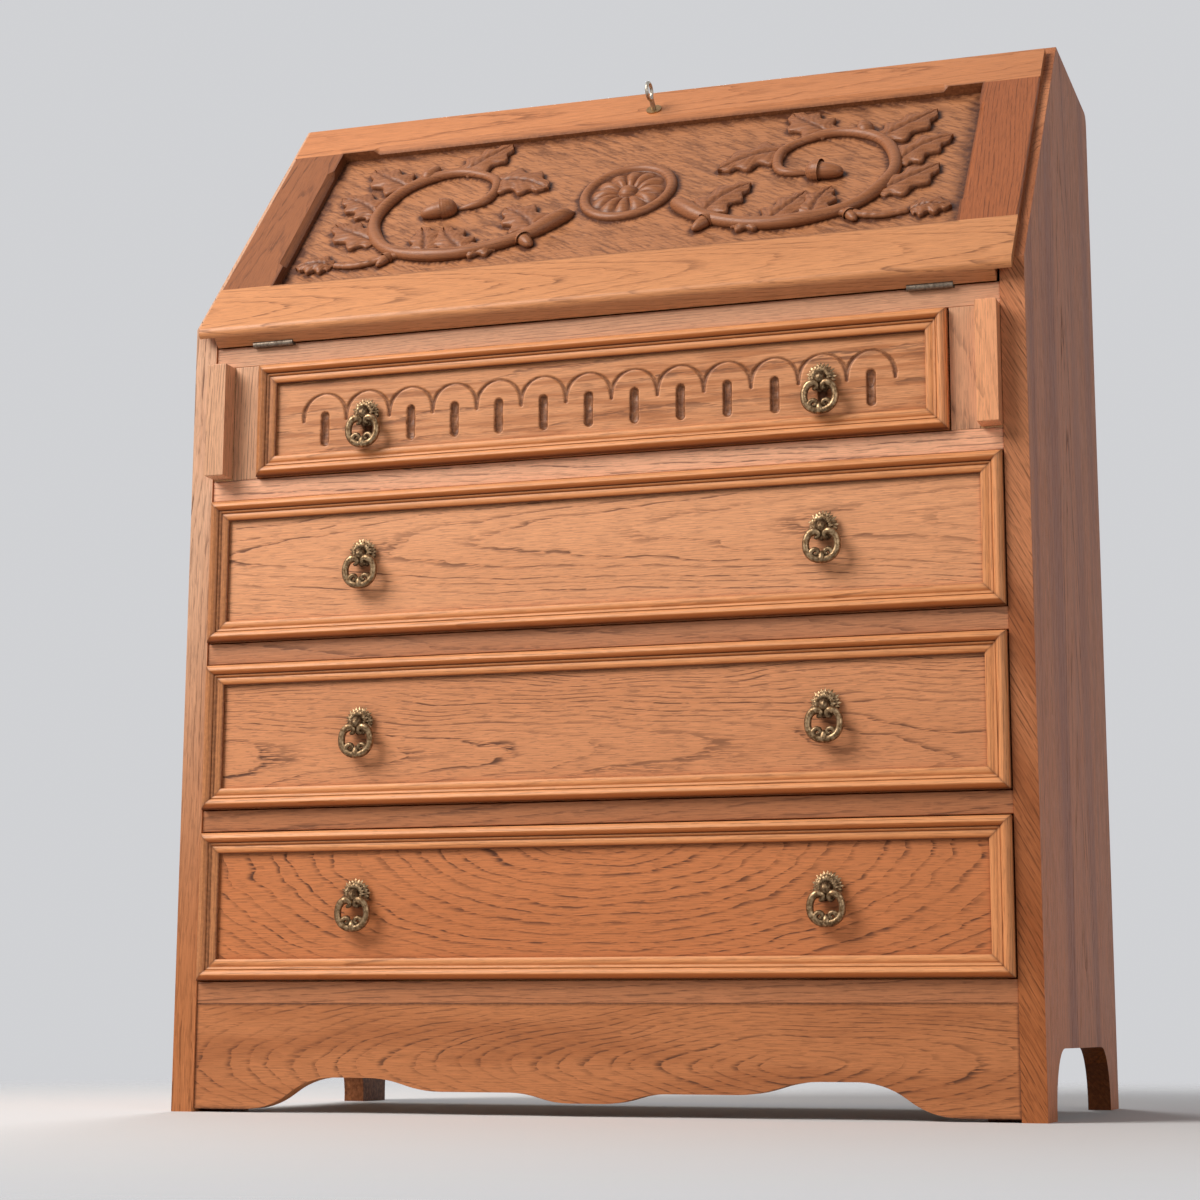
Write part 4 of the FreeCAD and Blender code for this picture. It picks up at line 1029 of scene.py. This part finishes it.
def screwGrid(style, angle):
    # Rows run across the slot, each row is as long as the circle there
    edge, wall, rows = style["slot"], style["slotWall"], style["rows"]
    low, high = np.linspace(-1, -edge - wall, rows), np.linspace(edge + wall, 1, rows)
    v = np.concatenate([low, [-edge, edge], high])[:, None]
    u = np.linspace(-1, 1, style["columns"])[None, :] * halfRound(v)
    away = u ** 2 + v ** 2
    height = style["rise"] * (1 - style["fall"] * away) - style["cut"] * (np.abs(v) <= edge)
    skirtFrom, skirt = style["skirt"]
    height = np.where(away > skirtFrom, skirt, height)
    x, y = style["radius"] * u, style["radius"] * (v + 0 * u)
    c, s = math.cos(angle), math.sin(angle)
    return np.stack([x * c - y * s, x * s + y * c, height], -1)


def slopeBox(name):
    mesh = cadNodes[name].data
    points = np.zeros(len(mesh.vertices) * 3)
    mesh.vertices.foreach_get("co", points)
    points = points.reshape(-1, 3) - hingeAxis
    local = np.stack([points[:, 0], points @ upSlope, points @ offSlope], -1)
    return local.min(0), local.max(0)


def screwPieces(brass, steel):
    style, random = screwStyle, np.random.default_rng(5)
    low, high = boardBox("hinge_pins")
    bed, fall, lock = Surface(), Surface(), Surface()
    for middle in (low[0] + style["hinge"] / 2, high[0] - style["hinge"] / 2):
        for step in (-1, 0, 1):
            spot = np.array([middle + step * style["spread"], style["across"], 0])
            head = screwGrid(style, random.uniform(0, math.pi)) + spot
            bed.add(head + hingeAxis, flip=True)
            fall.add(onSlope(head * [1, 1, -1]))
    low, high = slopeBox("lock_case")
    middle, wide = (low + high) / 2, style["lockSpread"] * (high[0] - low[0])
    for side in (-1, 1):
        spot = np.array([middle[0] + side * wide, middle[1], -low[2]])
        lock.add(onSlope((screwGrid(style, random.uniform(0, math.pi)) + spot) * [1, 1, -1]))
    bed.piece("bedHingeScrews", brass, "carcass", "antique_brass")
    fall.piece("fallHingeScrews", brass, "fall", "antique_brass")
    lock.piece("lockScrews", steel, "fall", "lock_steel")


def backPins(material):
    style = pinStyle
    low, high = boardBox("back_panel")
    columns, rows = [np.linspace(low[k] + style["inset"], high[k] - style["inset"],
                                 round((high[k] - low[k]) / style["spacing"]) + 1) for k in (0, 2)]
    spots = [(x, z) for x in columns for z in rows[[0, -1]]]
    spots += [(x, z) for z in rows[1:-1] for x in columns[[0, -1]]]
    r, turn = downRows(style["rings"]), onceRound(style["sides"])
    height = (1 - r ** 2) * style["rise"] / style["radius"] + 0 * turn
    dome = np.stack([r * np.cos(turn), height, r * np.sin(turn)], -1)
    made = Surface()
    for x, z in spots:
        made.add(dome * style["radius"] + [x, high[1], z], flip=True)
    made.piece("backPins", material, "carcass", "lock_steel")


# Carcass boards
def frontRimShade(name, inset, reach, strength):
    # Painted shade along the edges of a board's front, or of the field within an inset
    low, high = boardBox(name)
    half = (high - low) / 2 - inset
    return {"turn": "front", "middle": tuple((low + high) / 2), "half": (half[0], half[2], 1.0),
            "reach": reach, "strength": strength}


sides = ("left", "right")
# Painted shade on inner faces near the floor and behind the front
footShadeStyle = {"level": (0.06, 0.12), "facing": (0.3, 0.6), "behind": (-0.205, -0.195), "strength": 0.85}
leftEdge = {"slant": -90.0, "origin": (-0.4, 0.02, 0), "tint": (1, 1, 1)}
rightEdge = {"slant": -120.0, "origin": (0.4, -0.245, 1.3), "tint": (0.79, 0.96, 1.7)}
# Painted light falloff: darker at the foot, paler with a painted sheen at the top
leftFade = {"low": 0.05, "high": 0.65, "below": (0.73, 0.67, 0.61), "above": (1.06, 1.55, 2.4)}
rightFade = {"low": 0.05, "high": 0.65, "below": (0.82, 0.77, 0.70), "above": (1.22, 1.4, 1.7)}
railFade = {"low": 0.36, "high": 0.62, "below": (0.93, 0.93, 0.93), "above": (1.72, 2.25, 3.1)}
carcassOak = {
    "sideOak": dict(
        tone="tawny", turn="side", origin=(-0.4, 0.02, 0), pith=(0, -0.06, -0.16), lean=0.03,
        pitch=0.0045, warp=0.05, pores=0.9, coat=0.0, gloss=0.1, edge=leftEdge, paintedFalloff=leftFade,
        footShade=dict(footShadeStyle, outward=-1.0)),
    # The right side is a darker copy of the side oak: painted shade
    "sideOakRight": dict(
        tone="brick", turn="side", origin=(0.4, -0.03, 0.2), pith=(0, 0.05, 0.14), lean=0.03,
        pitch=0.0045, warp=0.05, pores=1.0, coat=0.0, gloss=0.1, tint=(1.22, 0.98, 0.52), streak=1.6,
        rate=(0.5, 13.0, 13.0), edge=rightEdge, paintedFalloff=rightFade, footShade=dict(footShadeStyle, outward=1.0)),
    "railOak": dict(
        tone="rail", origin=(0.05, 0, 0.33), pith=(0, 0.03, -0.12), lean=0.02, pitch=0.0035, warp=0.03,
        pores=1.0, paintedFalloff=railFade),
    "hingeRailOak": dict(
        tone="rose", origin=(0, 0.01, 0.7), pith=(0, 0.3, -0.02), lean=0.015, pitch=0.0022, warp=0.02,
        pores=0.9, tint=(1.1, 1.26, 1.42)),
    # The apron's darker umber tone and its dark rim are painted shade at the foot of the case
    "apronOak": dict(
        tone="umber", origin=(0.19, -0.2135, 0.045), pith=(0.15, 0.0, 0.0), lean=-0.02, pitch=0.0040,
        warp=0.055, pores=1.0, tint=(1.1, 1.08, 0.98), streak=0.8, rate=(4.0, 26.0, 26.0),
        rim=frontRimShade("apron", 0.0, 0.0035, 0.85)),
    "topOak": dict(
        tone="warm", turn="flat", origin=(0.1, 0.12, 1.03), pith=(0, 0.02, -0.09), lean=0.05,
        pitch=0.004, warp=0.04, pores=0.85),
    "bedOak": dict(
        tone="pale", turn="flat", origin=(-0.1, 0.05, 0.73), pith=(0, -0.05, -0.12), lean=0.05,
        pitch=0.004, warp=0.04, pores=0.6),
    "partOak": dict(
        tone="rail", turn="upright", origin=(0.35, 0, 0.6), pith=(0, 0.02, -0.06), lean=0.03,
        pitch=0.003, warp=0.02, pores=0.8, tint=(1.32, 1.8, 2.4)),
    "barOak": dict(
        tone="pale", turn="deep", origin=(0.3, 0, 0.6), pith=(0, 0.05, -0.06), lean=0.03, pitch=0.0035,
        warp=0.02, pores=0.6),
    "innerOak": dict(
        tone="pale", turn="deep", origin=(0, 0, 0.2), pith=(0, 0.1, -0.08), lean=0.04, pitch=0.0035,
        warp=0.03, pores=0.6),
    "pigeonOak": dict(
        tone="pale", turn="flat", origin=(0, 0.1, 0.8), pith=(0, 0.05, -0.08), lean=0.04, pitch=0.0035,
        warp=0.03, pores=0.6),
    # The corner blocks are darkened as painted shade behind the apron
    "blockOak": dict(
        tone="red", turn="upright", origin=(0.3, 0, 0), pith=(0, 0.02, -0.05), lean=0.03, pitch=0.003,
        warp=0.02, pores=0.9, tint=(0.34, 0.3, 0.27)),
    "backPly": dict(
        tone="pale", turn="side", origin=(0, 0.2, 0.5), pith=(0, 0.2, -0.4), lean=0.02, pitch=0.012,
        warp=0.12, pores=0.35, bump=0.12, coat=0.0),
}
loperOak = dict(tone="warm", turn="upright", origin=(0.37, 0, 0.6), pith=(0, 0.05, -0.04), lean=0.04,
                pitch=0.003, warp=0.02, pores=1.0)
loperTints = {"left": (0.92, 1.14, 1.45), "right": (1.2, 1.27, 1.4)}
softEdge, frameEdge, plyEdge = 0.0012, 0.001, 0.0004
woods = {name: oakMaterial(name, **settings) for name, settings in carcassOak.items()}
dress("side_left", woods["sideOak"], softEdge)
dress("side_right", woods["sideOakRight"], softEdge)
dress("back_panel", woods["backPly"], plyEdge)
for board, wood in {
        "top_board": "topOak", "hinge_rail": "hingeRailOak", "writing_bed": "bedOak",
        "drawer_rails": "railOak", "apron": "apronOak", "corner_blocks": "blockOak",
        "drawer_runners": "innerOak", "drawer_stops": "innerOak", "loper_partitions": "partOak",
        "pigeonhole_shelf": "pigeonOak", "pigeonhole_dividers": "innerOak",
        "loper_left_bar": "barOak", "loper_right_bar": "barOak"}.items():
    dress(board, woods[wood])
for side in sides:
    wood = oakMaterial("loperOak_" + side, tint=loperTints[side], **loperOak)
    dress("loper_%s_front" % side, wood, frameEdge)
print("carcass dressed")

# Fall: frame, carved panel and metalwork
panelMiddle = onSlope(np.array([0, (panelStyle["low"] + panelStyle["high"]) / 2, 0.0]))
# Painted shade, with some stain, on the frame's edges next to the panel
sight = {"turn": "slope", "middle": tuple(panelMiddle), "reach": -0.004, "strength": 0.7,
         "half": (panelStyle["half"], (panelStyle["high"] - panelStyle["low"]) / 2, 1.0)}
hingeY, hingeZ = hingeAxis[1:]
gougeStrokes = {"slant": 36.0, "noise": ((62.0, 430.0, 60.0), 2.0, 0.55), "ramp": (0.47, 0.68),
                "strength": 0.62, "depth": 1.6, "above": 0.005}
fallOak = {
    "fallTopOak": dict(
        tone="honey", turn="slope", origin=(0.1, hingeY, hingeZ), pith=(0, 0.36, -0.05), lean=0.02,
        pitch=0.004, warp=0.03, pores=0.6, rim=sight),
    "fallLowOak": dict(
        # The lower rail gets a little painted bounce light and shade on faces that look down
        tone="tawny", turn="slope", origin=(-0.05, hingeY, hingeZ), pith=(0, 0.035, -0.045), lean=0.05,
        pitch=0.0036, warp=0.03, pores=0.75, rim=sight, tint=(1.0, 1.07, 1.07), under=0.15),
    "groundOak": dict(
        tone="carved", ownGrain=True, pith=(0, 0.1, -0.06), lean=0.04, pitch=0.004, warp=0.03,
        pores=0.5, glaze=1.35, tint=(0.83, 0.84, 0.81), strokes=gougeStrokes),
    "sprayOak": dict(
        tone="carved", ownGrain=True, pith=(0, 0.1, -0.06), lean=0.04, pitch=0.004, warp=0.03,
        pores=0.6, glaze=1.3, tint=(0.60, 0.56, 0.52)),
}
stileOak = dict(tone="red", turn="slopeUp", origin=tuple(hingeAxis), pith=(0, 0.36, -0.05), lean=0.03,
                pitch=0.0035, warp=0.02, pores=0.8, rim=sight)
stileTints = {"left": (0.76, 0.88, 0.92), "right": (0.92, 0.92, 0.87)}
woods.update({name: oakMaterial(name, **settings) for name, settings in fallOak.items()})
dress("fall_top_rail", woods["fallTopOak"], frameEdge)
dress("fall_bottom_rail", woods["fallLowOak"], frameEdge)
for side in sides:
    wood = oakMaterial("stileOak_" + side, tint=stileTints[side], **stileOak)
    dress("fall_stile_" + side, wood, frameEdge)
relief = sprayGrids(sprayStyle)
panelPiece(woods["groundOak"], relief)
sprayPiece(woods["sprayOak"], relief)
# Metals: bright, dull and hollow colours
hinge = metalMaterial("hingeBrass", (0.25, 0.2, 0.155), (0.14, 0.108, 0.082), (0.03, 0.022, 0.016), rough=0.5)
bush = metalMaterial("bushBrass", (0.5, 0.3, 0.13), (0.32, 0.18, 0.075), (0.08, 0.04, 0.02))
steel = metalMaterial("lockSteel", (0.42, 0.4, 0.37), (0.25, 0.235, 0.215), (0.05, 0.045, 0.04))
nickel = metalMaterial("keyNickel", (0.55, 0.5, 0.42), (0.36, 0.31, 0.25), (0.06, 0.05, 0.04))
for metal, names in ((hinge, ("hinge_bed_leaves", "hinge_fall_leaves", "hinge_pins")),
                     (steel, ("lock_case", "lock_bolt", "lock_strike")),
                     (bush, ("keyhole_bush",)), (nickel, ("key",))):
    for name in names:
        dress(name, metal, 0)
screwPieces(bush, nickel)
backPins(steel)
print("fall dressed")

# Drawers
drawerOak = {
    1: dict(tone="tawny", origin=(0.1, 0, 0.64), pith=(0, 0.10, -0.03), lean=0.008, pitch=0.0034,
            warp=0.03, pores=0.95, streak=1.5, rate=(11.0, 170.0, 170.0), tint=(1.0, 1.08, 1.15)),
    2: dict(tone="warm", origin=(-0.12, -0.2155, 0.515), pith=(0, 0.005, -0.05), lean=-0.03,
            pitch=0.0040, warp=0.03, pores=1.0, tint=(1.03, 1.1, 1.2)),
    3: dict(tone="tawny", origin=(0.3, -0.2155, 0.35), pith=(0, -0.03, -0.07), lean=0.03, pitch=0.0032,
            warp=0.07, pores=1.3, tint=(1.02, 1.07, 1.16)),
    4: dict(tone="amber", origin=(-0.16, -0.2155, 0.195), pith=(0.35, 0.05, -0.06), lean=0.0,
            pitch=0.0075, warp=0.03, pores=1.2, tint=(0.96, 0.97, 0.99)),
}
# Mouldings carry painted shade on the mesh, and painted bounce light and shade where they look down
mouldOak = oakMaterial("mouldOak", tone="tawny", ownGrain=True, pith=(0, 0.03, -0.05), lean=0.02,
                       pitch=0.0028, warp=0.02, pores=0.7, glaze=0.75, under=0.9, tint=(1.14, 1.2, 1.14))
boxOak = oakMaterial("boxOak", tone="pale", turn="deep", origin=(0, 0, 0.4), pith=(0, 0.05, -0.1), lean=0.03,
                     pitch=0.004, warp=0.03, pores=0.5)
bottomPly = oakMaterial("bottomPly", tone="pale", turn="flat", origin=(0, 0.1, 0.2), pith=(0, 0.2, -0.3),
                        lean=0.02, pitch=0.01, warp=0.1, pores=0.3, bump=0.1, coat=0.0)
# Painted shade on the drawer fields next to the mouldings
fieldRimShade = {"inset": mouldStyle["width"] - 0.0005, "reach": 0.004, "strength": 0.4}
for number, settings in drawerOak.items():
    name = "drawer_%d_front" % number
    if number == 1:
        arcadePiece(oakMaterial("arcadeOak", ownGrain=True, glaze=0.8, **settings))
    else:
        dress(name, oakMaterial("drawerOak%d" % number, rim=frontRimShade(name, **fieldRimShade), **settings))
    mouldingPiece(number, mouldOak)
    dress("drawer_%d_box" % number, boxOak)
    dress("drawer_%d_bottom" % number, bottomPly, 0)
pullPieces(metalMaterial("antiqueBrass", (0.42, 0.285, 0.16), (0.118, 0.062, 0.027), (0.02, 0.0095, 0.005),
                         worn=True, rough=0.3))
print("drawers dressed")

# Floor, light and camera. The floor thins out with distance, so that it runs into the background
# without a line.
floorStyle = {"color": (0.70, 0.69, 0.69, 1), "rough": 0.7, "thins": (0.55, 1.8), "reach": 2.2}
# Lamps: place, aim, size, power, colour
lamps = {
    "key": ((-1.9, -2.1, 2.7), (-0.05, 0, 0.6), 2.2, 147, (1.0, 0.97, 0.93)),
    "back": ((-1.1, 3.0, 2.6), (0, 0, 0.6), 1.2, 45, (0.97, 0.98, 1.0)),
    "fill": ((2.2, -2.6, 1.2), (0, 0, 0.5), 1.8, 18, (1.0, 0.97, 0.94)),
}
skyStyle = {"color": (0.96, 0.97, 1.0, 1), "light": 0.11, "seen": 0.66}
view = {"place": (0.74864, -2.41083, 0.0755), "yaw": 18.33, "pitch": 10.78, "roll": -0.16,
        "lens": 77.317, "sensor": 36.0, "shift": (-0.00837, -0.0508)}


def paleFloor(style):
    made, tree, place = blankMaterial("paleFloor")
    away = node(tree, "ShaderNodeVectorMath", {0: place}, operation="LENGTH").outputs["Value"]
    inputs = {"Base Color": style["color"], "Roughness": style["rough"]}
    shader = node(tree, "ShaderNodeBsdfPrincipled", inputs)
    clear = node(tree, "ShaderNodeBsdfTransparent")
    inputs = {0: ramp(tree, away, *style["thins"]), 1: shader.outputs[0], 2: clear.outputs[0]}
    mixed = node(tree, "ShaderNodeMixShader", inputs)
    node(tree, "ShaderNodeOutputMaterial", {"Surface": mixed.outputs[0]})
    surface = bpy.data.meshes.new("floor")
    reach = style["reach"]
    corners = [(-reach, -reach, 0), (reach, -reach, 0), (reach, reach, 0), (-reach, reach, 0)]
    surface.from_pydata(corners, [], [(0, 1, 2, 3)])
    surface.materials.append(made)
    floor = bpy.data.objects.new("floor", surface)
    bpy.context.scene.collection.objects.link(floor)


def lamp(name, place, aim, size, power, color):
    light = bpy.data.lights.new(name, "AREA")
    light.shape, light.size, light.energy, light.color = "DISK", size, power, color
    made = bpy.data.objects.new(name, light)
    made.location = place
    made.rotation_euler = (Vector(aim) - Vector(place)).to_track_quat("-Z", "Y").to_euler()
    bpy.context.scene.collection.objects.link(made)


def paleSky(style):
    # Brighter to the camera, in glass and in gloss than as a light
    world = bpy.data.worlds.new("studio")
    bpy.context.scene.world = world
    world.use_nodes = True
    tree = world.node_tree
    path = node(tree, "ShaderNodeLightPath").outputs
    seen = maths(tree, "MAXIMUM", path["Is Camera Ray"], path["Is Transmission Ray"])
    seen = maths(tree, "MAXIMUM", seen, path["Is Glossy Ray"])
    inputs = {"Value": seen, "To Min": style["light"], "To Max": style["seen"]}
    strength = node(tree, "ShaderNodeMapRange", inputs)
    sky = tree.nodes["Background"]
    sky.inputs["Color"].default_value = style["color"]
    tree.links.new(strength.outputs[0], sky.inputs["Strength"])


paleFloor(floorStyle)
paleSky(skyStyle)
for name, settings in lamps.items():
    lamp(name, *settings)
lens = bpy.data.cameras.new("camera")
lens.lens, lens.sensor_width = view["lens"], view["sensor"]
lens.shift_x, lens.shift_y = view["shift"]
camera = bpy.data.objects.new("camera", lens)
turn = turned("Z", view["yaw"]) @ turned("X", view["pitch"]) @ turned("Y", view["roll"]) @ turned("X", 90)
camera.matrix_world = Matrix.Translation(view["place"]) @ turn.to_4x4()
bpy.context.scene.collection.objects.link(camera)
bpy.context.scene.camera = camera
bpy.context.scene.view_settings.view_transform = "Standard"
print("stage set")
